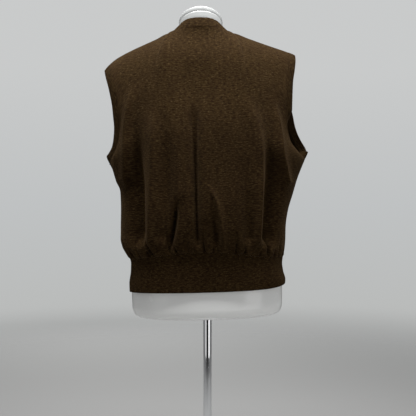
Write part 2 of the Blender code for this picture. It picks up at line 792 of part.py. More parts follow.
def ring_band(name, seam, free, ways, along, outside):
    """A closed band of cloth between a seam loop and a free loop.

    The ways are those from the seam to the free edge that the panel keeps its gap along,
    along runs along the seam, and outside is the way out of the band at each step, roughly.
    """
    normal = unit(np.cross(along, ways))
    normal = normal * np.sign((normal * outside).sum(axis=1))[:, None]
    crown = (seam + free) / 2 + normal * BAND_CROWN
    seam = seam + ways * SEAM_GAP / 2
    loops = [
        seam,
        crown,
        free,
        free - normal * BAND_WALL,
        crown - normal * BAND_WALL,
        seam - normal * BAND_WALL,
    ]
    points = np.concatenate(loops)
    number = np.arange(len(points)).reshape(len(loops), len(seam))
    triangles = []
    for near, far in zip(number, np.roll(number, -1, axis=0)):
        for corners in zip(near, np.roll(near, -1), np.roll(far, -1), far):
            triangles += split(corners, points)
    mesh = mesh_of(points, triangles)
    bmesh.ops.recalc_face_normals(mesh, faces=mesh.faces)
    return object_from(mesh, name, "rib_wool")


def armhole_band(side):
    """The ribbed band round one armhole."""
    turns = np.linspace(0.0, math.pi, ROWS_UPPER + 1)
    loops = []
    for face, run in ((BACK, turns[:-1]), (FRONT, turns[:0:-1])):
        free = armhole_edge(side, face, run)
        seam = armhole_seam(side, face, run)
        loops.append((seam, free, -way_to_seam(side, face, run)))
    seam, free, ways = (np.concatenate(parts) for parts in zip(*loops))
    along = np.roll(seam, -1, axis=0) - np.roll(seam, 1, axis=0)
    outside = np.tile([side, 0.0, 0.0], (len(seam), 1))
    return ring_band(f"armhole_band_{SIDE_NAMES[side]}", seam, free, ways, along, outside)


def neckband():
    """The ribbed band round the neck, mitred at the point of the V."""
    seam, free, ways, along = neck_loop()
    outside = (seam + free) / 2 - [NECK_CENTRE, 0.0, 0.0]
    outside[:, 2] = 0.0
    return ring_band("neckband", seam, free, ways, along, outside)


# ---------------------------------------------------------------- dress form, pole, base


def form_depth(x, height, ease):
    """How far out the dress form's front stands at x and a height, with some ease."""
    above = height - FORM_BOTTOM
    half = curve(above, FORM_RINGS, 1) + ease
    depth = curve(above, FORM_RINGS, 3) + ease
    squareness = curve(above, FORM_RINGS, 4)
    centre = above * math.tan(FORM_LEAN)
    inside = 1.0 - np.minimum(np.abs((x - centre) / half), 1.0) ** squareness
    return depth * inside ** (1.0 / squareness)


def form_ring(height, half, back, front, squareness, slant):
    """One ring of the dress form, in its own frame; a slant lowers its front."""
    angle = np.linspace(0.0, 2 * math.pi, FORM_SIDES, endpoint=False)
    power = 2.0 / squareness
    x = half * np.sign(np.cos(angle)) * np.abs(np.cos(angle)) ** power
    depth = np.where(np.sin(angle) > 0, back, front)
    y = depth * np.sign(np.sin(angle)) * np.abs(np.sin(angle)) ** power
    return np.stack([x, y, height + slant * y], axis=-1)


def dress_form(cutters):
    """The limbless torso, leaning a little, with a socket for the pole in its underside."""
    points = np.concatenate([form_ring(*row) for row in FORM_RINGS])
    number = np.arange(len(points)).reshape(len(FORM_RINGS), FORM_SIDES)
    faces = [number[0][::-1], number[-1]]
    for lower, upper in zip(number[:-1], number[1:]):
        faces += zip(lower, np.roll(lower, -1), np.roll(upper, -1), upper)
    form = object_from(mesh_of(points, faces), "dress_form", "form_gloss")
    form.location = (0.0, 0.0, FORM_BOTTOM * MM)
    form.rotation_euler = (0.0, FORM_LEAN, 0.0)

    depth = 2 * SOCKET_DEPTH
    bpy.ops.mesh.primitive_cylinder_add(
        vertices=POLE_SIDES,
        radius=SOCKET_RADIUS * MM,
        depth=depth * MM,
        location=(0.0, 0.0, FORM_BOTTOM * MM),
    )
    cutter = bpy.context.object
    cutter.name = "socket_cutter"
    cutter.hide_render = True
    cutter.display_type = "WIRE"
    move_to(cutter, cutters)
    socket = form.modifiers.new("socket", "BOOLEAN")
    socket.operation = "DIFFERENCE"
    socket.object = cutter
    return form


def pole():
    """The chrome pole, from the base's hub up into the form's socket."""
    bottom = HUB_FLOOR + SEAM_GAP
    top = FORM_BOTTOM + SOCKET_DEPTH - SEAM_GAP
    bpy.ops.mesh.primitive_cylinder_add(
        vertices=POLE_SIDES,
        radius=POLE_RADIUS * MM,
        depth=(top - bottom) * MM,
        location=(0.0, 0.0, (top + bottom) / 2 * MM),
    )
    tube = bpy.context.object
    tube.name = "pole"
    return dress(tube, "pole_chrome")


def base():
    """The round base plate and its hub, turned in one piece."""
    profile = (
        # radius, height
        (0.0, HUB_FLOOR),
        (SOCKET_RADIUS, HUB_FLOOR),
        (SOCKET_RADIUS, HUB_HEIGHT),
        (HUB_RADIUS - HUB_EDGE, HUB_HEIGHT),
        (HUB_RADIUS, HUB_HEIGHT - HUB_EDGE),
        (HUB_RADIUS, BASE_PLATE + HUB_EDGE),
        (HUB_RADIUS + HUB_EDGE, BASE_PLATE),
        (BASE_RADIUS - BASE_EDGE, BASE_PLATE),
        (BASE_RADIUS, BASE_PLATE - BASE_EDGE),
        (BASE_RADIUS, 0.0),
        (0.0, 0.0),
    )
    mesh = bmesh.new()
    points = [mesh.verts.new((radius * MM, 0.0, height * MM)) for radius, height in profile]
    for first, second in zip(points[:-1], points[1:]):
        mesh.edges.new((first, second))
    plate = object_from(mesh, "base", "base_steel")
    turned = plate.modifiers.new("turned", "SCREW")
    turned.steps = turned.render_steps = BASE_STEPS
    turned.use_merge_vertices = True
    turned.merge_threshold = MERGE_DISTANCE
    return plate


# ---------------------------------------------------------------- objects and materials


def dress(obj, finish):
    """Give an object its own material and smooth shading, and put it in the collection."""
    colour, roughness, metallic = FINISHES[finish]
    material = bpy.data.materials.new(f"{obj.name}_{finish}")
    material.use_nodes = True
    shader = material.node_tree.nodes["Principled BSDF"]
    shader.inputs["Base Color"].default_value = (*colour, 1.0)
    shader.inputs["Roughness"].default_value = roughness
    shader.inputs["Metallic"].default_value = metallic
    obj.data.materials.clear()
    obj.data.materials.append(material)
    obj.data.shade_smooth()
    obj.data.set_sharp_from_angle(angle=SHARP_ANGLE)
    move_to(obj, bpy.data.collections[COLLECTION])
    return obj


def mesh_of(points, faces):
    """A bmesh of points in millimetres and faces given by their numbers."""
    mesh = bmesh.new()
    corners = [mesh.verts.new(point * MM) for point in points]
    for face in faces:
        mesh.faces.new([corners[k] for k in face])
    return mesh


def object_from(mesh, name, finish):
    """An object from a bmesh."""
    data = bpy.data.meshes.new(name)
    mesh.to_mesh(data)
    mesh.free()
    obj = bpy.data.objects.new(name, data)
    bpy.context.scene.collection.objects.link(obj)
    return dress(obj, finish)


def move_to(obj, collection):
    """Leave an object in one collection only."""
    for old in list(obj.users_collection):
        old.objects.unlink(obj)
    collection.objects.link(obj)


def main():
    """Clear the scene and model every piece."""
    for obj in list(bpy.data.objects):
        bpy.data.objects.remove(obj)
    for name in (COLLECTION, CUTTERS):
        bpy.context.scene.collection.children.link(bpy.data.collections.new(name))
    panel(BACK, "back_panel")
    panel(FRONT, "front_panel")
    hem_band(BACK, "hem_band_back")
    hem_band(FRONT, "hem_band_front")
    neckband()
    for side in (LEFT, RIGHT):
        armhole_band(side)
    dress_form(bpy.data.collections[CUTTERS])
    pole()
    base()


main()
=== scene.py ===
"""A knitted sweater vest on a limbless dress form: fine surface, finishes, light and camera.

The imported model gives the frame. Each piece of cloth is lofted again at the scale of its
stitches, on the sections that its solid has, as a thin shell with its folds, gathers and
ribs. The form, pole and base are modelled finer in their solids' places.

Sizes are in millimetres until a mesh is made, and in metres from there on. The front faces
-Y, and the wearer's left is +X.
"""

import logging
import math
from dataclasses import dataclass, field
from enum import Enum

import bpy
import numpy as np
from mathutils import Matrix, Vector
from mathutils.bvhtree import BVHTree

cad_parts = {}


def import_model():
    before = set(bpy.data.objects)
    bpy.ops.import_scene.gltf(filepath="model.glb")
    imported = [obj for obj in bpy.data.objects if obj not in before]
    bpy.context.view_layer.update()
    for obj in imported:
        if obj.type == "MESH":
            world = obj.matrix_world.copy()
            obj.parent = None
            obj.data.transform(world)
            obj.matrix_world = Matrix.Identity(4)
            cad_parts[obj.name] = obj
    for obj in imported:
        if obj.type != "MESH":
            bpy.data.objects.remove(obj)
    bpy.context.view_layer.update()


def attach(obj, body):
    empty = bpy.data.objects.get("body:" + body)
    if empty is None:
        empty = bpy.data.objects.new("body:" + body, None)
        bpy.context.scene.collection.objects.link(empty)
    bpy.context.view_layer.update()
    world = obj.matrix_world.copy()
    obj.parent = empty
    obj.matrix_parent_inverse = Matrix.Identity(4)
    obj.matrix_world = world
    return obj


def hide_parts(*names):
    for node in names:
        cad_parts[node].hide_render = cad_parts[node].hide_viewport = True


MM = 0.001
ROOT = "root"
CLOTH_MAP = "flat_cloth"
SEAM_GAP = 0.3
PANEL_WALL = 2.0
BAND_WALL = 2.4
CREASE_ANGLE = math.radians(35)
TINY = 1e-9
WELD = 1e-6
CUTS: dict[str, tuple[float, float, float]] = {
    # width and length of the rectangle that the flat cloth just fits in, and how much it fills
    "back_panel_knit": (558.0, 569.0, 0.761),
    "front_panel_knit": (561.0, 563.0, 0.723),
    "hem_rib_back": (479.0, 90.0, 0.827),
    "hem_rib_front": (476.0, 82.0, 0.890),
    "armhole_rib_left": (594.5, 17.9, 0.929),
    "armhole_rib_right": (631.6, 17.9, 0.957),
    "neck_rib": (712.5, 21.8, 0.899),
}
Table = tuple[tuple[float, ...], ...]
Points = np.ndarray
Colour = tuple[float, float, float]
Stops = tuple[tuple[float, Colour], ...]
Object = bpy.types.Object
Material = bpy.types.Material
Socket = bpy.types.NodeSocket

log = logging.getLogger("sweater_vest")


class Face(Enum):
    """The two faces of the vest, with the sign of their direction along Y."""

    BACK = 1
    FRONT = -1


class Side(Enum):
    """The wearer's two sides, with the sign of their direction along X."""

    LEFT = 1
    RIGHT = -1


# ---------------------------------------------------------------- small mathematics


def curve(at: Points | float, table: Table, column: int = 1) -> Points:
    """Read a smooth curve through a table's rows.

    Args:
        at: One value of the table's first column, or an array of them.
        table: Rows that start with the value the curve runs along.
        column: The column to read.

    Returns:
        The curve's height at each value, held level past the table's ends.
    """
    knots = np.array([row[0] for row in table], float)
    values = np.array([row[column] for row in table], float)
    at = np.clip(np.asarray(at, float), knots[0], knots[-1])
    steps = np.diff(knots)
    slopes = np.diff(values) / steps
    tangents = np.empty_like(values)
    tangents[0], tangents[-1] = slopes[0], slopes[-1]
    same_way = slopes[1:] * slopes[:-1] > 0
    mean = 2 * slopes[1:] * slopes[:-1] / np.where(same_way, slopes[1:] + slopes[:-1], 1.0)
    tangents[1:-1] = np.where(same_way, mean, 0.0)
    piece = np.clip(np.searchsorted(knots, at, side="right") - 1, 0, len(steps) - 1)
    step = steps[piece]
    t = (at - knots[piece]) / step
    return (
        (2 * t**3 - 3 * t**2 + 1) * values[piece]
        + (t**3 - 2 * t**2 + t) * step * tangents[piece]
        + (3 * t**2 - 2 * t**3) * values[piece + 1]
        + (t**3 - t**2) * step * tangents[piece + 1]
    )


def smooth(t: Points | float) -> Points:
    """Return a soft step: 0 below 0, 1 above 1."""
    t = np.clip(t, 0.0, 1.0)
    return t * t * (3 - 2 * t)


def unit(vectors: Points) -> Points:
    """Return the vectors at length 1."""
    vectors = np.asarray(vectors, float)
    return vectors / np.linalg.norm(vectors, axis=-1, keepdims=True)


def run_lengths(points: Points) -> Points:
    """Measure how far along a line of points each one lies.

    Args:
        points: The line's points along the last axis but one.

    Returns:
        The lengths, 0 at the first point.
    """
    steps = np.linalg.norm(np.diff(points, axis=-2), axis=-1)
    start = np.zeros((*steps.shape[:-1], 1))
    return np.concatenate([start, np.cumsum(steps, axis=-1)], axis=-1)


def run_up(points: Points) -> Points:
    """Return how far up its column each point of a grid lies."""
    return run_lengths(points.swapaxes(0, 1)).T


def laid_flat(points: Points) -> Points:
    """Return a grid's points laid out flat, by their lengths along rows and up columns."""
    return np.stack([run_lengths(points), run_up(points)], axis=-1)


def section(across: Points, wrap: float, squareness: Points) -> tuple[Points, Points]:
    """Work out a horizontal section of the body, which is part of half a superellipse.

    Args:
        across: Places from -1 to 1 across the face.
        wrap: 1 for a section that closes at the side seams, less for its middle stretch.
        squareness: 2 for an ellipse, more for squarer corners.

    Returns:
        Width from -1 to 1 and depth from 0 to 1 at each place.
    """
    power = 2.0 / squareness
    turn = 0.5 * math.pi * wrap
    angle = turn * np.sign(across) * np.abs(across) ** (squareness / 2.0)
    width = np.sign(angle) * np.abs(np.sin(angle)) ** power / np.sin(turn) ** power
    end = np.maximum(np.cos(turn), 0.0) ** power
    depth = (np.maximum(np.cos(angle), 0.0) ** power - end) / (1.0 - end)
    return width, depth


# ---------------------------------------------------------------- the dress form's shape


@dataclass(frozen=True)
class TorsoShape:
    """The outside of the limbless torso, in rings that lean a little to the left."""

    bottom: float = 486.0
    lean: float = math.radians(1.35)
    rings: Table = (
        # height above the bottom, half width, back, front, squareness, slant to the front
        (0, 148, 80, 76, 2.3, 0),
        (2.5, 159, 89, 85, 2.3, 0),
        (9, 167, 95, 91, 2.3, 0),
        (23, 171, 97.5, 93.5, 2.3, 0),
        (60, 172, 98, 94, 2.3, 0),
        (115, 166, 96, 91, 2.3, 0),
        (185, 152, 92, 86, 2.2, 0),
        (250, 144, 92, 87, 2.1, 0),
        (320, 150, 98, 96, 2.1, 0),
        (390, 162, 103, 104, 2.1, 0),
        (450, 170, 102, 103, 2.1, 0),
        (505, 175, 89, 90, 2.1, 0),
        (545, 176.5, 75, 76, 2.1, 0),
        (572, 175, 65, 64, 2.1, 0),
        (593, 169, 59.5, 57, 2, 0),
        (604.5, 154, 55.5, 53, 1.9, 0),
        (616.8, 133, 50.5, 49, 1.62, 0),
        (630, 98.5, 48, 47, 1.5, 0.03),
        (640, 64.5, 46.5, 46, 1.5, 0.1),
        (648, 52.5, 47.5, 46.5, 1.8, 0.22),
        (656, 50, 49, 47, 2, 0.35),
        (668, 50, 49, 47.5, 2, 0.43),
        (672, 49, 48, 46.5, 2, 0.45),
        (673.5, 46.5, 46, 44.5, 2, 0.45),
    )

    def front_depth(self, x: Points, height: Points, ease: float) -> Points:
        """Measure how far out the front stands.

        Args:
            x: Places across.
            height: Their heights above the floor.
            ease: What is added to the torso all round.

        Returns:
            The depth at each place.
        """
        above = height - self.bottom
        half = curve(above, self.rings, 1) + ease
        depth = curve(above, self.rings, 3) + ease
        squareness = curve(above, self.rings, 4)
        centre = above * math.tan(self.lean)
        inside = 1.0 - np.minimum(np.abs((x - centre) / half), 1.0) ** squareness
        return depth * inside ** (1.0 / squareness)

    def ring(self, above: float, inset: float, angle: Points) -> Points:
        """Work out one ring.

        Args:
            above: Its height above the bottom, before it is slanted.
            inset: How far it is drawn in, as in a groove.
            angle: The turns round the ring.

        Returns:
            The ring's points in the frame of the whole object.
        """
        half, back, front, squareness, slant = (
            float(curve(above, self.rings, column)) for column in range(1, 6)
        )
        power = 2.0 / squareness
        across = np.sign(np.cos(angle)) * np.abs(np.cos(angle)) ** power
        deep = np.sign(np.sin(angle)) * np.abs(np.sin(angle)) ** power
        x = (half - inset) * across
        y = (np.where(np.sin(angle) > 0, back, front) - inset) * deep
        return self.leant(np.stack([x, y, above + slant * y], axis=-1))

    def leant(self, points: Points) -> Points:
        """Lean the torso and put it at its height.

        Args:
            points: Points in the torso's own frame.

        Returns:
            The points in the frame of the whole object.
        """
        x, y, z = np.moveaxis(points, -1, 0)
        cos, sin = math.cos(self.lean), math.sin(self.lean)
        return np.stack([x * cos + z * sin, y, z * cos - x * sin + self.bottom], axis=-1)


# ---------------------------------------------------------------- the vest's shape


@dataclass(frozen=True)
class Armhole:
    """One armhole: the free edge of its band, and the ways from there to the seam."""

    side: Side
    lowest: float
    highest: float
    reach: dict[Face, float]
    edges: dict[Face, Table]
    to_underarm_seam: tuple[float, float]
    to_shoulder_seam: tuple[float, float]
    band_width: float = 18.0
    flatness: float = 0.8
    to_side_seam: tuple[float, float] = (0.80, 0.60)
    late_turn: float = 3.0
    turned_in: dict[Face, Table] = field(default_factory=dict)

    def edge(self, face: Face, turn: Points) -> Points:
        """Follow the band's free edge.

        Args:
            face: The half of the armhole.
            turn: From 0 at the underarm to pi at the shoulder.

        Returns:
            The points at each turn.
        """
        height = self.lowest + (self.highest - self.lowest) * (1 - np.cos(turn)) / 2
        x = curve(height, self.edges[face])
        reach = self.reach[face] * np.maximum(np.sin(turn), 0.0) ** self.flatness
        return np.stack([x, face.value * reach, height], axis=-1)

    def way(self, face: Face, turn: Points) -> Points:
        """Find the directions across the band, from its free edge to its seam.

        Args:
            face: The half of the armhole.
            turn: From 0 at the underarm to pi at the shoulder.

        Returns:
            The unit vectors at each turn.
        """
        below = np.cos(turn) > 0
        ends = zip(self.to_underarm_seam, self.to_shoulder_seam)
        to_end_x, to_end_z = (np.where(below, underarm, shoulder) for underarm, shoulder in ends)
        level, upright = np.abs(np.cos(turn)), np.maximum(np.sin(turn), 0.0)
        late = np.where(below, self.late_turn, 1.0)
        to_x, to_y = self.to_side_seam
        x = to_end_x * level**late - self.side.value * to_x * upright**late
        y = face.value * to_y * upright
        return unit(np.stack([x, y, to_end_z * level], axis=-1))

    def seam(self, face: Face, turn: Points) -> Points:
        """Return the points of the seam of band and panel."""
        return self.edge(face, turn) + self.band_width * self.way(face, turn)

    def turned_edge(self, face: Face, turn: Points) -> Points:
        """Follow the free edge where the band turns inward about its seam.

        Args:
            face: The half of the armhole.
            turn: From 0 at the underarm to pi at the shoulder.

        Returns:
            The points at each turn, the band as wide there as anywhere else.
        """
        edge, seam = self.edge(face, turn), self.seam(face, turn)
        if face not in self.turned_in:
            return edge
        angle = np.radians(curve(edge[:, 2], self.turned_in[face]))[:, None]
        across, along = edge - seam, unit(np.gradient(seam, axis=0))
        aside = np.cross(along, across)
        aside = aside * -face.value * np.sign((aside[:, 1] * angle[:, 0]).sum())
        lengthwise = along * (along * across).sum(axis=1, keepdims=True)
        return (
            seam + across * np.cos(angle) + aside * np.sin(angle) + lengthwise * (1 - np.cos(angle))
        )


LEFT_ARMHOLE = Armhole(
    side=Side.LEFT,
    lowest=847.0,
    highest=1045.0,
    reach={Face.BACK: 54.0, Face.FRONT: 52.0},
    edges={
        Face.BACK: (
            # height, x
            (847, 231.6), (855, 223), (868, 214.5), (885, 210.2), (909, 208), (937, 210.2),
            (955, 212), (992, 219.6), (1029, 230.5), (1045, 235),
        ),
        Face.FRONT: (
            (847, 231.6), (868, 217), (909, 208), (955, 211), (1000, 222), (1045, 235),
        ),
    },
    to_underarm_seam=(-0.42, -0.91),
    to_shoulder_seam=(-0.60, 0.80),
)
RIGHT_ARMHOLE = Armhole(
    side=Side.RIGHT,
    lowest=858.5,
    highest=1080.0,
    reach={Face.BACK: 55.0, Face.FRONT: 54.0},
    edges={
        Face.BACK: (
            (858.5, -231.2), (864, -218), (876, -203), (900, -191.5), (925, -188),
            (974, -188.6), (1010, -190.5), (1038, -195), (1066, -198.6), (1080, -199),
        ),
        Face.FRONT: (
            (858.5, -231.2), (868, -230), (878, -226), (888, -221), (906, -213.5), (925, -208),
            (944, -204.6), (974, -199.4), (1038, -197.4), (1080, -199),
        ),
    },
    to_underarm_seam=(0.42, -0.91),
    to_shoulder_seam=(0.92, 0.39),
    turned_in={
        Face.BACK: (
            # height, degrees
            (858.5, 0), (861, 45), (866, 72), (880, 72), (900, 55), (920, 40), (931, 22),
            (941, 5), (949, 0), (1080, 0),
        ),
    },
)


@dataclass(frozen=True)
class VestShape:
    """The outer surface of the worn vest, from short tables of sections."""

    left_outline: Table = (
        # height, x
        (541, 177), (560, 177.6), (588, 174.2), (606, 173.8), (616, 176.4), (624, 181),
        (633, 187.4), (643, 193.4), (661, 198.2), (690, 198.2), (725, 197.8), (762, 199),
        (799, 208),
    )
    right_outline: Table = (
        (556, -176), (569, -177.2), (588, -172.2), (606, -169.8), (624, -171.8), (643, -175.6),
        (661, -177.6), (690, -178.8), (725, -184), (762, -194.8), (799, -206),
    )
    depths: Table = (
        # height, back, front, squareness
        (541, 104, 101, 3), (570, 103, 100, 3), (600, 102.5, 99.5, 3), (634, 104.5, 101, 2.9),
        (645, 110.5, 106, 2.7), (661, 117, 111, 2.5), (690, 120.5, 114.5, 2.4),
        (760, 119.5, 116.5, 2.3), (830, 119.5, 120, 2.2), (900, 119.5, 122.5, 2.2),
        (960, 118, 121, 2.2), (1010, 115, 118, 2.2), (1135, 108, 112, 2.2),
    )
    hem_back: Table = (
        # across, seam height, edge height
        (-1, 619, 563), (-0.6, 623, 554.5), (0, 634, 548.5), (0.6, 621, 545), (1, 613, 541.5),
    )
    hem_front: Table = (
        (-1, 619, 563), (-0.6, 627, 557.5), (0, 633, 553), (0.6, 624, 547), (1, 613, 541.5),
    )
    shoulder_line: Table = (
        # x, height
        (-200, 1080.5), (-184, 1087), (-140, 1101.5), (-95, 1117), (-49.5, 1132), (81.5, 1132),
        (120, 1114.5), (146, 1103), (165, 1094.5), (204, 1074.5), (221, 1061.5), (235, 1045),
    )
    neck_centre: float = 16.0
    neck_half: float = 65.5
    neck_depth_back: float = 58.0
    neck_depth_front: float = 50.0
    neck_flatness_back: float = 0.5
    neck_fade: float = 2.0
    neck_spread: float = 0.7
    neck_seam_height: float = 1132.0
    neck_rounding: float = 1.6
    shoulder_rounding: float = 0.9
    rounding_from: float = 0.45
    rounding_span: float = 0.9
    v_point_height: float = 925.0
    v_curve: float = 1.12
    free_half: float = 53.5
    free_back: float = 52.8
    free_height: float = 1153.5
    free_fall: float = 15.0
    free_fall_power: float = 4.0
    free_v_height: float = 986.0
    free_ease: float = 6.0
    mitre_share: float = 0.24
    mitre_fan: float = 0.1
    neck_across: float = 0.3228
    lean_out: float = 0.8
    lean_fade: float = 0.6
    lean_reach: float = 55.0
    roundings: dict[Face, Table] = field(
        default_factory=lambda: {
            # lowest and highest level, reach, power that moves its peak, half width
            Face.BACK: ((955.0, 1131.0, 10.0, 1.4, 105.0), (638.0, 870.0, 6.0, 0.8, 230.0)),
            Face.FRONT: ((638.0, 860.0, 4.0, 0.8, 230.0),),
        }
    )
    upper_section_height: float = 900.0
    wrap_at_armhole: float = 0.66
    wrap_at_shoulder: float = 0.12
    wrap_change: float = 0.45
    narrow_from: float = 0.4
    row_power: float = 1.15
    even_within: float = 0.45
    even_fade: float = 0.2
    end_pull_power: float = 2.5
    torso: TorsoShape = field(default_factory=TorsoShape)

    def armhole(self, side: Side) -> Armhole:
        """Return the armhole of one side."""
        return LEFT_ARMHOLE if side is Side.LEFT else RIGHT_ARMHOLE

    def seams(self, face: Face, turn: float) -> tuple[Points, Points]:
        """Return a point of the left armhole's seam and one of the right's."""
        return tuple(self.armhole(side).seam(face, np.array(turn)) for side in Side)

    def hem(self, face: Face) -> Table:
        """Return the hem band's seam and edge of one face."""
        return self.hem_back if face is Face.BACK else self.hem_front

    def depth_column(self, face: Face) -> int:
        """Return the column of the depths that holds one face."""
        return 1 if face is Face.BACK else 2

    def side_x(self, side: Side, height: Points) -> Points:
        """Find where the side seam lies, up to the armhole band.

        Args:
            side: The wearer's side.
            height: Heights above the floor.

        Returns:
            X at each height.
        """
        outline = self.left_outline if side is Side.LEFT else self.right_outline
        top = self.armhole(side).seam(Face.BACK, np.array(0.0))
        return curve(height, outline + ((float(top[2]), float(top[0])),))

    def body_point(self, face: Face, across: Points, height: Points) -> Points:
        """Work out points of the body and hem, up to the armholes.

        Args:
            face: The face.
            across: Places from -1 to 1 across it.
            height: Their heights.

        Returns:
            The points.
        """
        width, depth = section(across, 1.0, curve(height, self.depths, 3))
        left, right = self.side_x(Side.LEFT, height), self.side_x(Side.RIGHT, height)
        x = (left + right) / 2 + (left - right) / 2 * width
        y = face.value * curve(height, self.depths, self.depth_column(face)) * depth
        return np.stack([x, y, height], axis=-1)

    def neck_depth(self, face: Face, x: Points, share: Points) -> Points:
        """Measure how far the neck holds the cloth out.

        Args:
            face: The face.
            x: Places across.
            share: How far down from the shoulders they lie, from 0 to 1.

        Returns:
            The depth at each place.
        """
        back = face is Face.BACK
        half = self.neck_half * (1.0 + self.neck_spread * share)
        inside = np.maximum(1.0 - ((x - self.neck_centre) / half) ** 2, 0.0)
        flatness = self.neck_flatness_back if back else 1.0
        deepest = self.neck_depth_back if back else self.neck_depth_front
        return deepest * inside**flatness * (1.0 - share) ** self.neck_fade

    def over_shoulder(self, face: Face, x: Points, height: Points, foot: Points) -> Points:
        """Work out the cloth's depth where it comes in towards neck and shoulder.

        Args:
            face: The face it lies on.
            x: Places across.
            height: Their heights.
            foot: The heights where the cloth starts to come in.

        Returns:
            Y at each place.
        """
        from_neck = np.abs(x - self.neck_centre) / self.neck_half
        top = curve(x, self.shoulder_line)
        rise = np.clip((height - foot) / (top - foot), 0.0, 1.0)
        blend = smooth((from_neck - self.rounding_from) / self.rounding_span)
        rounding = self.neck_rounding + (self.shoulder_rounding - self.neck_rounding) * blend
        share = (1.0 - rise**2) ** (rounding / 2)
        depth = curve(height, self.depths, self.depth_column(face))
        return face.value * (self.neck_depth(face, x, share) + depth * share)

    def panel_top(self, face: Face, across: Points) -> tuple[Points, Points]:
        """Work out a panel's upper edge: shoulder seams, and neck or V.

        Args:
            face: The panel.
            across: Places from -1 to 1 across it.

        Returns:
            X and height at each place.
        """
        left, right = self.seams(face, math.pi)
        outer = (np.abs(across) - self.neck_across) / (1 - self.neck_across)
        tip = np.where(across > 0, left[0], right[0])
        neck_point = self.neck_centre + np.sign(across) * self.neck_half
        in_neck = np.abs(across) <= self.neck_across + TINY
        x_neck = self.neck_centre + self.neck_half * across / self.neck_across
        x = np.where(in_neck, x_neck, neck_point + (tip - neck_point) * outer)
        if face is Face.BACK:
            neck_line = np.full_like(x, self.neck_seam_height)
        else:
            open_share = np.clip(np.abs(across) / self.neck_across, 0.0, 1.0) ** self.v_curve
            fall = self.neck_seam_height - self.v_point_height
            neck_line = self.v_point_height + fall * open_share
        return x, np.where(in_neck, neck_line, curve(x, self.shoulder_line))

    def underarm_height(self, across: Points) -> Points:
        """Find the level where a panel's armholes begin, lower on the left.

        Args:
            across: Places from -1 to 1 across it.

        Returns:
            The height at each place.
        """
        left, right = (float(point[2]) for point in self.seams(Face.BACK, 0.0))
        return (left + right) / 2 + (left - right) / 2 * across

    def upper_row(self, face: Face, across: Points, rise: float) -> Points:
        """Work out one row of a panel above the armholes' lowest points.

        Args:
            face: The panel.
            across: Places from -1 to 1 across it.
            rise: From 0 at the underarms to 1 at the shoulders and neck.

        Returns:
            The row's points.
        """
        left, right = self.seams(face, math.pi * rise)
        squareness = float(curve(self.upper_section_height, self.depths, 3))
        wrap = 1.0 + (self.wrap_at_armhole - 1.0) * smooth(rise / self.wrap_change)
        late = smooth((rise - self.wrap_change) / (1 - self.wrap_change))
        wrap += (self.wrap_at_shoulder - self.wrap_at_armhole) * late
        width, depth = section(across, float(wrap), squareness)
        top_x, top_height = self.panel_top(face, across)
        ends = np.array([-1.0, 1.0])
        ends_x, ends_top = self.panel_top(face, ends)
        x = (left[0] + right[0]) / 2 + (left[0] - right[0]) / 2 * width
        narrowed = np.interp(top_x, ends_x, [right[0], left[0]])
        x = x + (narrowed - x) * smooth((rise - self.narrow_from) / (1 - self.narrow_from))
        foot = self.underarm_height(across)
        over_top = math.sin(0.5 * math.pi * rise**self.row_power)
        share = np.full_like(foot, over_top)
        if face is Face.FRONT:
            below_v = smooth((self.even_within - np.abs(across)) / self.even_fade)
            share = over_top + (rise - over_top) * below_v
        height = foot + (top_height - foot) * share
        ends_foot = self.underarm_height(ends)
        sides = ((0, right, across <= 0), (1, left, across > 0))
        for end, edge, on_side in sides:
            level = ends_foot[end] + (ends_top[end] - ends_foot[end]) * over_top
            pull = (edge[2] - level) * np.abs(across) ** self.end_pull_power
            height = height + np.where(on_side, pull, 0.0)
        y = self.over_shoulder(face, x, height, foot)
        for end, edge, on_side in sides:
            free = self.over_shoulder(face, edge[0], edge[2], ends_foot[end])
            y = y + np.where(on_side, (edge[1] - free) * (1 - depth), 0.0)
        return np.stack([x, y, height], axis=-1)

    def neck_seam(self, face: Face, across: Points) -> Points:
        """Follow the seam of panel and neckband.

        Args:
            face: The panel.
            across: Places across it, within the neck.

        Returns:
            The seam's points.
        """
        if face is Face.BACK:
            return self.upper_row(face, across, 1.0)
        x, height = self.panel_top(face, across)
        y = self.over_shoulder(face, x, height, self.underarm_height(across))
        return np.stack([x, y, height], axis=-1)

    def roundness(self, face: Face, x: Points, height: Points) -> Points:
        """Round loose cloth out over the back and the hem.

        Args:
            face: The face.
            x: Places across.
            height: Their heights.

        Returns:
            How far y moves at each place.
        """
        total = np.zeros_like(height)
        for low, high, out, power, half in self.roundings[face]:
            rise = np.clip((height - low) / (high - low), 0.0, 1.0)
            aside = np.exp(-(((x - self.neck_centre) / half) ** 2))
            total += out * np.sin(math.pi * rise**power) ** 2 * aside
        return face.value * total

    def neck_lean(self, face: Face, across: Points) -> Points:
        """Move the seam behind the neck out, so that the cloth flows into the band.

        Args:
            face: The face.
            across: Places across it.

        Returns:
            The move at each place.
        """
        width = np.minimum(np.abs(across) / self.neck_across, 1.0)
        share = smooth((1.0 - width) / self.lean_fade) if face is Face.BACK else 0.0 * width
        around = 0.5 * math.pi * across / self.neck_across
        way = np.stack([np.sin(around), np.cos(around), np.zeros_like(around)], axis=-1)
        return self.lean_out * way * share[..., None]

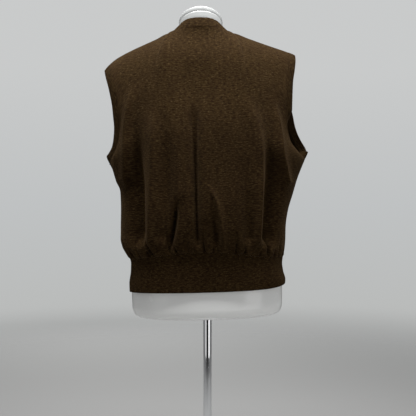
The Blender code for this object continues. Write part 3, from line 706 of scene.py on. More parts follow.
    def neck_free_edge(self, face: Face, across: Points) -> Points:
        """Follow the neckband's free edge.

        Args:
            face: The face.
            across: Places across it, as on the seam.

        Returns:
            The points opposite the seam's.
        """
        share = across / self.neck_across
        if face is Face.BACK:
            x = self.neck_centre + self.free_half * share
            y = self.free_back * np.sqrt(np.maximum(1 - share**2, 0.0))
            fall = self.free_fall * np.abs(share) ** self.free_fall_power
            return np.stack([x, y, self.free_height - fall], axis=-1)
        past = np.maximum(np.abs(share) - self.mitre_share, 0.0) / (1 - self.mitre_share)
        share = np.sign(share) * (self.mitre_fan * np.abs(share) + (1 - self.mitre_fan) * past)
        x = self.neck_centre + self.free_half * share
        fall = self.free_height - self.free_fall - self.free_v_height
        height = self.free_v_height + fall * np.abs(share) ** self.v_curve
        y = -self.torso.front_depth(x, height, self.free_ease)
        y = np.where(np.abs(share) > 1 - TINY, 0.0, y)
        return np.stack([x, y, height], axis=-1)


# ---------------------------------------------------------------- folds and gathers


@dataclass(frozen=True)
class Fold:
    """One crease that runs through three points, a trough where its rise is negative."""

    top: tuple[float, float]
    middle: tuple[float, float]
    foot: tuple[float, float]
    rise: float
    width: float
    sharpness: float = 0.0
    fade_top: float = 70.0
    fade_foot: float = 22.0
    crest: float = 1.8
    steepness: float = 1.2

    def lift(self, x: Points, height: Points) -> Points:
        """Measure how far the crease moves the cloth outwards.

        Args:
            x: Places across.
            height: Their heights.

        Returns:
            The lift at each place.
        """
        path = curve(height, (self.foot[::-1], self.middle[::-1], self.top[::-1]))
        fade = smooth((self.top[1] - height) / self.fade_top)
        fade = fade * smooth((height - self.foot[1]) / self.fade_foot)
        off = (x - path) / self.width
        crest = self.crest / self.width
        soft = np.exp(-(off**2))
        sharp = np.exp(self.steepness * (crest - np.sqrt(off**2 + crest**2)))
        return self.rise * (soft + (sharp - soft) * self.sharpness) * fade


def folds(*rows: tuple[float, ...]) -> tuple[Fold, ...]:
    """Make folds from rows.

    Args:
        rows: For each, x and height at its top, middle and foot, then its rise, width and
            sharpness, and the length over which it fades in at the top.

    Returns:
        The folds.
    """
    return tuple(Fold(row[0:2], row[2:4], row[4:6], *row[6:]) for row in rows)


# The solids' folds, apart from the back's four ridges with a rise of 6 or 6.5, which lie up
# to 8 mm from theirs. Rows are as folds() takes them.
BACK_FOLDS = folds(
    (166, 1010, 177, 906, 182, 775, 6, 13),
    (204, 870, 206, 830, 199, 770, 3.5, 9),
    (158, 900, 160, 780, 158, 655, -8, 20),
    (117, 950, 118, 800, 126, 642, 6.5, 16),
    (88, 900, 90, 780, 100, 650, -4.5, 15),
    (63, 930, 60, 840, 57, 740, 3.5, 14),
    (66, 752, 73, 690, 83, 636, -7, 10),
    (30, 995, 27, 830, 23.5, 640, -4, 7),
    (-4, 775, -23, 730, -37, 642, 3.5, 10),
    (-10, 720, -15, 690, -18, 642, -4, 11),
    (-84, 985, -110, 850, -105, 642, 6.5, 16),
    (-88, 760, -92, 700, -94, 645, -4.5, 9),
    (-128, 880, -136, 770, -134, 650, -7.5, 17),
    (-141, 985, -154, 890, -177, 770, 6, 13),
)
FRONT_FOLDS = folds(
    (150, 980, 168, 860, 164, 660, 5.5, 17),
    (128, 900, 132, 770, 128, 650, -7, 19),
    (92, 930, 88, 780, 98, 645, 6, 16),
    (48, 850, 50, 740, 60, 642, -6, 12),
    (14, 890, 10, 780, 16, 645, 4.5, 15),
    (-24, 830, -30, 730, -26, 642, -5.5, 11),
    (-70, 950, -74, 800, -66, 645, 6, 16),
    (-108, 880, -112, 760, -104, 650, -7, 17),
    (-136, 990, -150, 860, -146, 660, 6, 15),
)
# What the solids don't have: sharper crests, deeper troughs and finer creases.
BACK_CREASES = folds(
    (168, 985, 176.5, 900, 180, 765, 5, 6, 1),
    (154, 965, 155, 800, 150, 640, -21, 16, 0, 200),
    (115, 965, 115.5, 824, 123, 642, 7.5, 9, 0.6, 120),
    (88, 940, 88, 780, 96, 645, -5, 14, 0, 160),
    (60, 800, 60, 745, 65, 640, 3, 6, 0.8),
    (63.7, 752, 69.3, 700, 82, 628, -14, 4.6, 0.6, 40),
    (29.5, 1005, 26.8, 866, 20.5, 640, -16, 6.5, 0.7, 120),
    (44, 980, 42, 840, 38, 690, 2.5, 10, 0),
    (12, 980, 9, 840, 4, 690, 3, 12, 0),
    (0, 785, -22.4, 730, -36, 638, 6, 5, 1, 30),
    (-8, 745, -15, 700, -21, 640, -9, 8, 0.3, 60),
    (-54, 800, -58, 730, -64, 645, 3.5, 12, 0.3),
    (-78, 860, -84, 780, -86, 645, -6, 10, 0, 120),
    (-97, 955, -114, 832, -106.5, 642, 9, 9, 0.6, 120),
    (-94, 800, -98, 730, -96, 645, -6, 6.5, 0.3),
    (-126, 940, -140, 790, -133, 640, -20, 14, 0, 200),
    (-146, 975, -158, 862, -177, 768, 6, 6, 1),
)
FRONT_CREASES = folds(
    (150, 990, 167, 860, 163, 656, 5, 8, 1),
    (127, 935, 131, 770, 127, 640, -14, 16, 0, 180),
    (90, 950, 87, 780, 96, 642, 6, 8, 1),
    (52, 775, 57, 705, 67, 634, -11, 4.8, 0.6, 40),
    (16, 900, 11, 780, 18, 642, 5, 8, 0.9),
    (-22, 840, -27, 740, -25, 638, -8, 7, 0.6),
    (-72, 950, -75, 800, -68, 642, 7, 8, 1),
    (-88, 790, -90, 720, -94, 640, -5, 7, 0.3),
    (-108, 900, -112, 760, -105, 640, -13, 14, 0, 180),
    (-134, 990, -149, 860, -145, 656, 5, 8, 1),
)


def uneven(number: int, waves: Table) -> float:
    """Return an uneven amount for a numbered pleat, from waves of size, pace and start."""
    return sum(size * math.sin(pace * number + start) for size, pace, start in waves)


@dataclass(frozen=True)
class Gathers:
    """Small pleats above the hem seam, where the wide body meets the narrow band."""

    spacing: float = 17.5
    depth: float = 10.0
    width: float = 3.2
    rise: float = 2.4
    pleat_width: float = 5.0
    length: float = 46.0
    start: float = 6.0
    puff: float = 5.0
    flat_between: tuple[float, float] = (100.0, 205.0)
    flattening: float = 0.9
    mean_strength: float = 0.70
    narrowing: float = 0.45
    # what makes the pleats uneven: size, pace and start of each wave
    strengths: Table = ((0.35, 1.7, 0.6), (0.25, 4.1, 0.0))
    lengths: Table = ((0.5, 3.1, 2.0),)
    wander: Table = ((0.22, 2.4, 0.0), (0.132, 5.3, 1.0))
    leans: Table = ((0.08, 1.3, 0.0),)

    def lift(self, along: Points, above: Points) -> Points:
        """Measure how far pleats and the creases between them move the cloth.

        Args:
            along: Lengths along the hem seam from the middle of the face.
            above: Heights above the seam.

        Returns:
            The lift at each place.
        """
        lift = self.puff * smooth(above / self.start) * (1.0 - smooth(above / self.length))
        low, high = self.flat_between
        lift *= 1.0 - self.flattening * smooth((np.abs(along) - low) / (high - low))
        reach = int(np.abs(along).max() / self.spacing)
        for number in range(-reach, reach + 1):
            strength = self.mean_strength + uneven(number, self.strengths)
            length = self.length * (1.0 + uneven(number, self.lengths))
            place = self.spacing * (number + uneven(number, self.wander))
            lean = place + above * uneven(number, self.leans)
            narrow = self.width * (1.0 - self.narrowing * np.minimum(above / length, 1.0))
            wide = self.pleat_width * (1.0 + above / length)
            fade = smooth(above / self.start) * (1.0 - smooth(above / length))
            lift -= self.depth * strength * np.exp(-(((along - lean) / narrow) ** 2)) * fade
            pleat = np.exp(-(((along - lean - self.spacing / 2) / wide) ** 2))
            lift += self.rise * strength * pleat * fade
        return lift


def room_below(
    points: Points, ways: Points, form: BVHTree, most: float = 60.0, outside: float = 5.0
) -> Points:
    """Measure how much room there is between the cloth and the form.

    Args:
        points: The cloth's points.
        ways: The directions out of it.
        form: The form below.
        most: The most room that is looked for.
        outside: How far outside the cloth each look starts.

    Returns:
        The depth of free room inwards from each point.
    """
    room = np.full(points.shape[:2], most)
    for place in np.ndindex(*room.shape):
        start = Vector((points[place] + outside * ways[place]) * MM)
        distance = form.ray_cast(start, Vector(-ways[place]), (most + outside) * MM)[3]
        if distance is not None:
            room[place] = distance / MM - outside
    return room


def ripples(along: Points, up: Points, height: float) -> Points:
    """Work out faint wide unevenness of soft cloth, from a few crossing waves.

    Their numbers are lengths in millimetres, starts in radians and how far they bend.

    Args:
        along: Lengths across the cloth.
        up: Lengths up it.
        height: The waves' height.

    Returns:
        The lift at each place.
    """
    sizes = (1.0, 0.8, 0.5)
    waves = (
        np.sin(along / 9 + 1.5 * np.sin(up / 57)) * np.sin(up / 83 + along / 61),
        np.sin(along / 15 - up / 140 + 2) * np.sin(up / 49 + 1),
        np.sin(up / 21 + 2 * np.sin(along / 37)),
    )
    return height * sum(size * wave for size, wave in zip(sizes, waves)) / sum(sizes)


# ---------------------------------------------------------------- meshes in Blender


def deselect() -> None:
    """Deselect everything, as the loaded frame comes in selected."""
    bpy.ops.object.select_all(action="DESELECT")


def apply_modifier(obj: Object, kind: str, **settings: object) -> None:
    """Add a modifier to an object and apply it.

    Args:
        obj: The object.
        kind: The modifier's type.
        settings: Its properties.
    """
    bpy.context.view_layer.objects.active = obj
    modifier = obj.modifiers.new(kind.lower(), kind)
    for name, value in settings.items():
        setattr(modifier, name, value)
    bpy.ops.object.modifier_apply(modifier=modifier.name)


def cylinder(name: str, sides: int, radius: float, bottom: float, top: float) -> Object:
    """Add an upright cylinder on the object's axis.

    Args:
        name: The object's name.
        sides: The number of its sides.
        radius: Its radius in millimetres.
        bottom: Its lower end's height.
        top: Its upper end's height.

    Returns:
        The object, which is at the origin.
    """
    deselect()
    bpy.ops.mesh.primitive_cylinder_add(
        vertices=sides,
        radius=radius * MM,
        depth=(top - bottom) * MM,
        location=(0.0, 0.0, (top + bottom) / 2 * MM),
    )
    obj = bpy.context.object
    obj.name = obj.data.name = name
    bpy.ops.object.transform_apply(location=True)
    return obj


def bevel(obj: Object, width: float, segments: int, angle: float) -> None:
    """Round an object's edges that are sharper than an angle.

    Args:
        obj: The object.
        width: The rounding's width in millimetres.
        segments: The number of faces across it.
        angle: The angle in radians.
    """
    settings = {"segments": segments, "limit_method": "ANGLE", "angle_limit": angle}
    apply_modifier(obj, "BEVEL", width=width * MM, **settings)


def outward_ways(points: Points, closed: bool) -> Points:
    """Work out each point's direction out of a grid of points.

    Args:
        points: Rows of points, whose columns run to the left of an onlooker's up direction.
        closed: Whether each row's last point is its first.

    Returns:
        The unit normals, shaped as the points.
    """
    if closed:
        wrapped = np.concatenate([points[:, -2:-1], points, points[:, 1:2]], axis=1)
        along = (wrapped[:, 2:] - wrapped[:, :-2]) / 2
    else:
        along = np.gradient(points, axis=1)
    up = np.gradient(points, axis=0)
    return unit(np.cross(along, up))


def grid_object(name: str, points: Points, flat: Points, closed: bool) -> Object:
    """Shape a grid primitive to rows of points and lay its UV map out flat.

    Args:
        name: The object's name.
        points: Rows of points in millimetres, seen from outside from left to right and up.
        flat: Each point's place on the flat cloth, in millimetres.
        closed: Whether the last column is the first, so that the grid closes to a ring.

    Returns:
        The object.
    """
    rows, columns = points.shape[:2]
    deselect()
    bpy.ops.mesh.primitive_grid_add(
        x_subdivisions=columns - 1, y_subdivisions=rows - 1, size=1.0, calc_uvs=True
    )
    obj = bpy.context.object
    obj.name = obj.data.name = name
    mesh = obj.data
    mesh.vertices.foreach_set("co", (points * MM).reshape(-1).astype(np.float32))
    corners = np.empty(len(mesh.loops), np.int32)
    mesh.loops.foreach_get("vertex_index", corners)
    places = (flat * MM).reshape(-1, 2)[corners]
    mesh.uv_layers[0].data.foreach_set("uv", places.reshape(-1).astype(np.float32))
    mesh.uv_layers[0].name = CLOTH_MAP
    if closed:
        bpy.ops.object.mode_set(mode="EDIT")
        bpy.ops.mesh.select_all(action="SELECT")
        bpy.ops.mesh.remove_doubles(threshold=WELD)
        bpy.ops.object.mode_set(mode="OBJECT")
    mesh.update()
    return obj


def put_in_place(obj: Object, node: str, material: Material) -> None:
    """Dress a piece and put it in its solid's place.

    Args:
        obj: The piece.
        node: The solid's node.
        material: The finish.
    """
    obj.data.materials.clear()
    obj.data.materials.append(material)
    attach(obj, ROOT)
    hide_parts(node)
    log.info("%s: %d faces", obj.name, len(obj.data.polygons))


@dataclass(frozen=True)
class Cloth:
    """A piece of cloth, from its outer surface to a finished wall with soft edges."""

    name: str
    node: str
    slot: str
    wall: float
    closed: bool = False
    edge_round: float = 0.55
    edge_angle: float = math.radians(62)

    def make(self, points: Points, flat: Points, material: Material) -> None:
        """Build the piece, give it its thickness, and put it in its solid's place.

        Args:
            points: Rows of points of the outer surface, in millimetres.
            flat: Each point's place on the flat cloth.
            material: The finish.
        """
        obj = grid_object(self.name, points, flat, self.closed)
        apply_modifier(obj, "SOLIDIFY", thickness=self.wall * MM, offset=-1.0)
        bevel(obj, self.edge_round, 2, self.edge_angle)
        bpy.ops.object.shade_smooth()
        put_in_place(obj, self.node, material)
        width, length, share = CUTS[self.name]
        width, length = width * MM, length * MM


# ---------------------------------------------------------------- pieces of the vest


@dataclass(frozen=True)
class Panel:
    """The back or front body piece, from the hem seam to the shoulder seams."""

    face: Face
    shape: VestShape
    cloth: Cloth
    creases: tuple[Fold, ...]
    gathers: Gathers = field(default_factory=Gathers)
    shoulder_columns: int = 92
    neck_columns: int = 44
    body_rows: int = 72
    upper_rows: int = 90
    ripple: float = 0.35
    side_fade: float = 0.1
    rest_gap: float = 0.35
    rest_softness: float = 0.5
    easing_reach: float = 60.0
    easing_passes: int = 60
    spaced_rows: int = 12
    round_fade: float = 0.3
    foot_fade: float = 4.0
    top_fade: float = 25.0

    def across(self) -> Points:
        """Space the panel's columns, with one exactly at each neck point.

        Returns:
            Their places from -1 to 1.
        """
        neck = self.shape.neck_across
        outer = np.linspace(neck, 1.0, self.shoulder_columns + 1)
        inner = np.linspace(0.0, neck, self.neck_columns + 1)[1:-1]
        return np.concatenate([-outer[::-1], -inner[::-1], [0.0], inner, outer])

    def rows(self) -> Points:
        """Work out the panel's smooth outer surface, before its creases.

        Returns:
            Rows of points from the hem seam up.
        """
        across, shape, face = self.across(), self.shape, self.face
        half_gap = face.value * SEAM_GAP / 2
        foot = curve(across, shape.hem(face), 1) + SEAM_GAP / 2
        top = shape.underarm_height(across)
        rows = []
        for share in np.linspace(0.0, 1.0, self.body_rows + 1):
            row = shape.body_point(face, across, foot + (top - foot) * share)
            row[[0, -1], 1] = half_gap
            rows.append(row)
        for rise in np.linspace(0.0, 1.0, self.upper_rows + 1)[1:]:
            row = shape.upper_row(face, across, float(rise))
            for side, column in ((Side.RIGHT, 0), (Side.LEFT, -1)):
                way = shape.armhole(side).way(face, np.array(math.pi * rise))
                row[column] += SEAM_GAP / 2 * way
            rows.append(row)
        in_neck = np.abs(across) < shape.neck_across + TINY
        seam = shape.neck_seam(face, across[in_neck])
        free = shape.neck_free_edge(face, across[in_neck])
        rows[-1][in_neck] = seam - SEAM_GAP / 2 * unit(free - seam)
        rows[-1][np.abs(across) > shape.neck_across - TINY, 1] = half_gap
        points = self.spaced(np.stack(rows))
        below = run_up(points[::-1])[::-1]
        near = np.exp(-((below / shape.lean_reach) ** 2))
        points += shape.neck_lean(face, across) * near[..., None]
        inside = smooth((1.0 - np.abs(across)) / self.round_fade)
        points[..., 1] += shape.roundness(face, points[..., 0], points[..., 2]) * inside
        return self.eased(points, across)

    def spaced(self, points: Points) -> Points:
        """Space the last rows evenly up each column, as they crowd at the upper seams.

        Args:
            points: The panel's rows, which it changes.

        Returns:
            The rows.
        """
        start = len(points) - self.spaced_rows
        kept = np.concatenate([points[start:-3], points[-1:]])
        lengths = run_lengths(kept.swapaxes(0, 1))
        shares = np.linspace(0.0, 1.0, self.spaced_rows)
        for column, known in enumerate(lengths):
            places = shares * known[-1]
            for axis in range(3):
                points[start:, column, axis] = np.interp(places, known, kept[:, column, axis])
        return points

    def flat(self, outer: Points) -> Points:
        """Lay the smooth surface out flat, its courses level and its wales upright.

        Args:
            outer: Rows of its points.

        Returns:
            For each, its length from the middle round the body, and its length up the body.
        """
        middle = outer.shape[1] // 2
        along = run_lengths(outer[..., :2])
        along = along - along[:, middle : middle + 1]
        level = run_up(outer[..., 1:]) + outer[0, :, 2] - outer[0, middle, 2]
        return np.stack([along, level], axis=-1)

    def eased(self, points: Points, across: Points) -> Points:
        """Ease the bend at the underarms' level, where the rows begin to rise.

        Args:
            points: The panel's rows, which it changes.
            across: The columns' places.

        Returns:
            The rows.
        """
        level = points[self.body_rows, :, 2]
        near = 1.0 - smooth(np.abs(points[..., 2] - level) / self.easing_reach)
        near = (near * smooth((1 - np.abs(across)) / self.side_fade))[1:-1, :, None]
        for _ in range(self.easing_passes):
            middle = (points[:-2] + points[2:]) / 2
            points[1:-1] += (middle - points[1:-1]) * near / 2
        return points

    def build(self, material: Material, form: BVHTree) -> None:
        """Build the panel.

        Args:
            material: Its finish.
            form: The torso it rests on, which its troughs stay clear of.
        """
        points = self.rows()
        across = self.across()
        if self.face is Face.BACK:
            points, across = points[:, ::-1], across[::-1]
        flat, up = self.flat(points), run_up(points)
        along = flat[..., 0]
        lift = self.gathers.lift(np.broadcast_to(along[0], along.shape), up)
        lift += ripples(along, up, self.ripple)
        for crease in self.creases:
            lift += crease.lift(points[..., 0], points[..., 2])
        ways = outward_ways(points, False)
        lowest = self.cloth.wall + self.rest_gap - room_below(points, ways, form)
        over = (lift - lowest) / self.rest_softness
        lift = lowest + self.rest_softness * np.logaddexp(0.0, over)
        sides = smooth((1 - np.abs(across)) / self.side_fade)[None, :]
        ends = np.minimum(smooth(up / self.foot_fade), smooth((up[-1] - up) / self.top_fade))
        lift *= np.minimum(sides, ends)
        self.cloth.make(points + ways * lift[..., None], flat, material)


@dataclass(frozen=True)
class Ribs:
    """One-by-one ribbing: ridges across a band, side by side along it."""

    pitch: float = 2.9
    rise: float = 0.55
    columns: int = 5

    def spaced(self, line: Points) -> tuple[int, Points]:
        """Space whole ribs evenly along a band.

        Args:
            line: The points of the band's middle.

        Returns:
            The number of ribs, and the places of their columns as fractions of the way
            through the points.
        """
        lengths = run_lengths(line)
        count = round(lengths[-1] / self.pitch)
        wanted = np.linspace(0.0, lengths[-1], count * self.columns + 1)
        return count, np.interp(wanted, lengths, np.linspace(0.0, 1.0, len(line)))

    def lift(self, count: int) -> Points:
        """Return the lift of each column of a band with this number of ribs."""
        turn = 2 * math.pi * np.arange(count * self.columns + 1) / self.columns
        return self.rise / 2 * (np.cos(turn) - 1)


@dataclass(frozen=True)
class HemBand:
    """One half of the ribbed band round the hem."""

    face: Face
    shape: VestShape
    cloth: Cloth
    ribs: Ribs = field(default_factory=Ribs)
    rows: int = 15
    samples: int = 2001

    def surface(self, across: Points) -> Points:
        """Work out the band's smooth outer surface.

        Args:
            across: Places from -1 to 1 across it.

        Returns:
            Rows of points from the hem's edge to its seam.
        """
        table = self.shape.hem(self.face)
        edge = curve(across, table, 2)
        seam = curve(across, table, 1) - SEAM_GAP / 2
        rows = []
        for share in np.linspace(0.0, 1.0, self.rows):
            row = self.shape.body_point(self.face, across, edge + (seam - edge) * share)
            row[[0, -1], 1] = self.face.value * SEAM_GAP / 2
            rows.append(row)
        return np.stack(rows)

    def build(self, material: Material) -> None:
        """Build the band.

        Args:
            material: Its finish.
        """
        dense = np.linspace(-1.0, 1.0, self.samples)
        count, places = self.ribs.spaced(self.surface(dense)[self.rows // 2])
        across = np.interp(places, np.linspace(0.0, 1.0, self.samples), dense)
        points = self.surface(across if self.face is Face.FRONT else across[::-1])
        lift = np.broadcast_to(self.ribs.lift(count), points.shape[:2])
        raised = points + outward_ways(points, False) * lift[..., None]
        self.cloth.make(raised, laid_flat(points), material)


@dataclass(frozen=True)
class RingBand:
    """A ribbed band that closes to a ring between a seam and a free edge."""

    cloth: Cloth
    ribs: Ribs = field(default_factory=lambda: Ribs(pitch=2.6, rise=0.45))
    crown: float = 0.6
    rows: int = 9

    def sweep(self, seam: Points, free: Points, outside: Points, material: Material) -> None:
        """Build the band between its two edges.

        Args:
            seam: Close points along the seam, the last on the first.
            free: The free edge's points opposite them.
            outside: The rough way out of the band at each of them.
            material: The finish.
        """
        count, places = self.ribs.spaced((seam + free) / 2)
        known = np.linspace(0.0, 1.0, len(seam))
        seam, free, outside = (
            np.stack([np.interp(places, known, line[:, axis]) for axis in range(3)], axis=-1)
            for line in (seam, free, outside)
        )
        seam = seam + SEAM_GAP / 2 * unit(free - seam)
        shares = np.linspace(0.0, 1.0, self.rows)[:, None, None]
        points = seam + (free - seam) * shares
        if (outward_ways(points, True) * outside).sum() < 0:
            points = points[:, ::-1]
        lift = self.crown * 4 * shares[..., 0] * (1 - shares[..., 0]) + self.ribs.lift(count)
        raised = points + outward_ways(points, True) * lift[..., None]
        raised[:, -1] = raised[:, 0]
        self.cloth.make(raised, laid_flat(points), material)


@dataclass(frozen=True)
class ArmholeBand(RingBand):
    """The ribbed band round one armhole."""

    side: Side = Side.LEFT
    shape: VestShape = field(default_factory=VestShape)
    samples: int = 1200

    def build(self, material: Material) -> None:
        """Build the band.

        Args:
            material: Its finish.
        """
        hole = self.shape.armhole(self.side)
        turns = np.linspace(0.0, math.pi, self.samples)
        runs = ((Face.BACK, turns[:-1]), (Face.FRONT, turns[::-1]))
        seam = np.concatenate([hole.seam(face, run) for face, run in runs])
        free = np.concatenate([hole.turned_edge(face, run) for face, run in runs])
        outside = np.tile([float(self.side.value), 0.0, 0.0], (len(seam), 1))
        self.sweep(seam, free, outside, material)


@dataclass(frozen=True)
class NeckBand(RingBand):
    """The ribbed band round the neck, mitred at the point of the V."""

    shape: VestShape = field(default_factory=VestShape)
    samples: int = 1201

    def build(self, material: Material) -> None:
        """Build the band.

        Args:
            material: Its finish.
        """
        half = self.shape.neck_across
        across = np.linspace(-half, half, self.samples)
        runs = ((Face.BACK, across[::-1][:-1]), (Face.FRONT, across))
        shape = self.shape
        seam = [shape.neck_seam(face, run) + shape.neck_lean(face, run) for face, run in runs]
        free = [shape.neck_free_edge(face, run) for face, run in runs]
        seam, free = np.concatenate(seam), np.concatenate(free)
        outside = (seam + free) / 2 - [shape.neck_centre, 0.0, 0.0]
        outside[:, 2] = 0.0
        self.sweep(seam, free, unit(outside), material)


# ---------------------------------------------------------------- form, pole and base


@dataclass(frozen=True)
class Torso:
    """The limbless torso as one smooth skin, with a socket for the pole below."""

    shape: TorsoShape
    sides: int = 144
    height: float = 673.5
    step: float = 6.0
    socket_radius: float = 9.8
    socket_depth: float = 62.0
    cap_rings: int = 6
    groove_depth: float = 0.7
    groove_width: float = 0.8
    grooves: tuple[float, ...] = (4.5, 664.0)
    groove_rings: tuple[float, ...] = (-0.6, 0.0, 0.6)
    crowded: Table = ((0.0, 30.0, 1.5), (600.0, 673.5, 1.2))
    top_rings: tuple[float, ...] = (0.985, 0.95, 0.6, 0.3, 0.0)
    crease_angle: float = math.radians(50)

    def heights(self) -> Points:
        """Space the rings, close together where the skin bends most.

        Returns:
            Their heights above the bottom, unsorted.
        """
        low, high = self.crowded
        return np.concatenate(
            [
                np.arange(low[0], low[1], low[2]),
                np.arange(low[1], high[0], self.step),
                np.arange(high[0], high[1], high[2]),
                [self.height],
                *[groove + np.array(self.groove_rings) for groove in self.grooves],
            ]
        )

    def rings(self) -> Points:
        """Work out the torso's whole skin.

        Returns:
            All rings, from the socket's end over the underside and up to the neck.
        """
        angle = np.linspace(0.0, 2 * math.pi, self.sides + 1)
        circle = np.stack([np.cos(angle), np.sin(angle), np.zeros_like(angle)], axis=-1)
        bore = self.socket_radius * circle
        rings = [
            self.shape.leant(share * bore + [0.0, 0.0, self.socket_depth])
            for share in (0.0, 0.5, 1.0)
        ]
        heights = np.unique(self.heights().round(3))
        skin = []
        for above in heights:
            near = [math.exp(-(((above - g) / self.groove_width) ** 2)) for g in self.grooves]
            skin.append(self.shape.ring(above, self.groove_depth * sum(near), angle))
        mouth = self.shape.leant(bore)
        for share in np.linspace(0.0, 1.0, self.cap_rings)[:-1]:
            rings.append(mouth + (skin[0] - mouth) * share)
        rings += skin
        centre = skin[-1].mean(axis=0)
        for share in self.top_rings:
            rings.append(centre + (skin[-1] - centre) * share)
        return np.stack(rings)

    def build(self, material: Material) -> BVHTree:
        """Build the torso.

        Args:
            material: Its finish.

        Returns:
            Its surface, for what rests on it.
        """
        rings = self.rings()
        obj = grid_object("torso_skin", rings, laid_flat(rings), True)
        bpy.ops.object.shade_smooth_by_angle(angle=self.crease_angle)
        put_in_place(obj, "dress_form", material)
        return BVHTree.FromObject(obj, bpy.context.evaluated_depsgraph_get())


@dataclass(frozen=True)
class Pole:
    """The chrome tube between base and torso."""

    radius: float = 9.5
    bottom: float = 6.3
    top: float = 547.7
    sides: int = 96
    edge: float = 0.8
    edge_angle: float = math.radians(30)

    def build(self, material: Material) -> None:
        """Build the pole.

        Args:
            material: Its finish.
        """
        obj = cylinder("pole_tube", self.sides, self.radius, self.bottom, self.top)
        bevel(obj, self.edge, 3, self.edge_angle)
        bpy.ops.object.shade_smooth_by_angle(angle=CREASE_ANGLE)
        put_in_place(obj, "pole", material)


@dataclass(frozen=True)
class RoundBase:
    """The steel plate on the floor with the hub that holds the pole."""

    radius: float = 170.0
    plate: float = 8.0
    hub_radius: float = 19.0
    hub_height: float = 36.0
    bore_radius: float = 9.8
    bore_floor: float = 6.0
    edge: float = 1.6
    edge_angle: float = math.radians(60)
    sides: int = 160
    level_normal: float = 0.9

    def build(self, material: Material) -> None:
        """Build the base.

        Args:
            material: Its finish.
        """
        obj = cylinder("base_plate", self.sides, self.radius, 0.0, self.plate)
        bpy.ops.object.mode_set(mode="EDIT")
        bpy.ops.mesh.select_mode(type="FACE")
        bpy.ops.mesh.select_all(action="DESELECT")
        bpy.ops.object.mode_set(mode="OBJECT")
        for polygon in obj.data.polygons:
            polygon.select = polygon.normal.z > self.level_normal
        bpy.ops.object.mode_set(mode="EDIT")
        bpy.ops.mesh.inset(thickness=(self.radius - self.hub_radius) * MM)
        self.raise_selected(self.hub_height - self.plate)
        bpy.ops.mesh.inset(thickness=(self.hub_radius - self.bore_radius) * MM)
        self.raise_selected(self.bore_floor - self.hub_height)
        bpy.ops.object.mode_set(mode="OBJECT")
        bevel(obj, self.edge, 4, self.edge_angle)
        bpy.ops.object.shade_smooth_by_angle(angle=CREASE_ANGLE)
        put_in_place(obj, "base", material)

    @staticmethod
    def raise_selected(height: float) -> None:
        """Extrude the selected face up, or down where the height is negative."""
        move = {"value": (0.0, 0.0, height * MM), "orient_type": "GLOBAL"}
        bpy.ops.mesh.extrude_region_move(TRANSFORM_OT_translate=move)


# ---------------------------------------------------------------- shader arithmetic


@dataclass(frozen=True)
class Grain:
    """A noise's grain: its sizes in metres, how many finer grains lie in it, how strong."""

    sizes: tuple[float, ...]
    detail: float = 2.0
    rough: float = 0.5


class Value:
    """A number on a socket, which Python's arithmetic adds Math nodes to."""

    def __init__(self, graph: "Graph", socket: Socket) -> None:
        """Wrap a socket of a graph."""
        self.graph = graph
        self.socket = socket

    def __add__(self, other: "Number") -> "Value":
        """Return this plus the other."""
        return self.graph.math("ADD", self, other)

    def __sub__(self, other: "Number") -> "Value":
        """Return this less the other."""
        return self.graph.math("SUBTRACT", self, other)

    def __rsub__(self, other: "Number") -> "Value":
        """Return the other less this."""
        return self.graph.math("SUBTRACT", other, self)

    def __mul__(self, other: "Number") -> "Value":
        """Return this times the other."""
        return self.graph.math("MULTIPLY", self, other)

    def __truediv__(self, other: "Number") -> "Value":
        """Return this over the other."""
        return self.graph.math("DIVIDE", self, other)

    def __pow__(self, other: "Number") -> "Value":
        """Return this to the power of the other."""
        return self.graph.math("POWER", self, other)

    __radd__ = __add__
    __rmul__ = __mul__

    def sine(self) -> "Value":
        """Return the sine of this."""
        return self.graph.math("SINE", self)

    def size(self) -> "Value":
        """Return this without its sign."""
        return self.graph.math("ABSOLUTE", self)

    def fraction(self) -> "Value":
        """Return what is left of this past the last whole number."""
        return self.graph.math("FRACT", self)

    def between(self, low: float, high: float) -> "Value":
        """Make a soft step.

        Args:
            low: Where the step starts.
            high: Where it ends.

        Returns:
            The step, from 0 to 1.
        """
        settings = {"interpolation_type": "SMOOTHSTEP"}
        places = {"Value": self, "From Min": low, "From Max": high}
        return self.graph.value("ShaderNodeMapRange", settings, places, "Result")


Number = Value | float


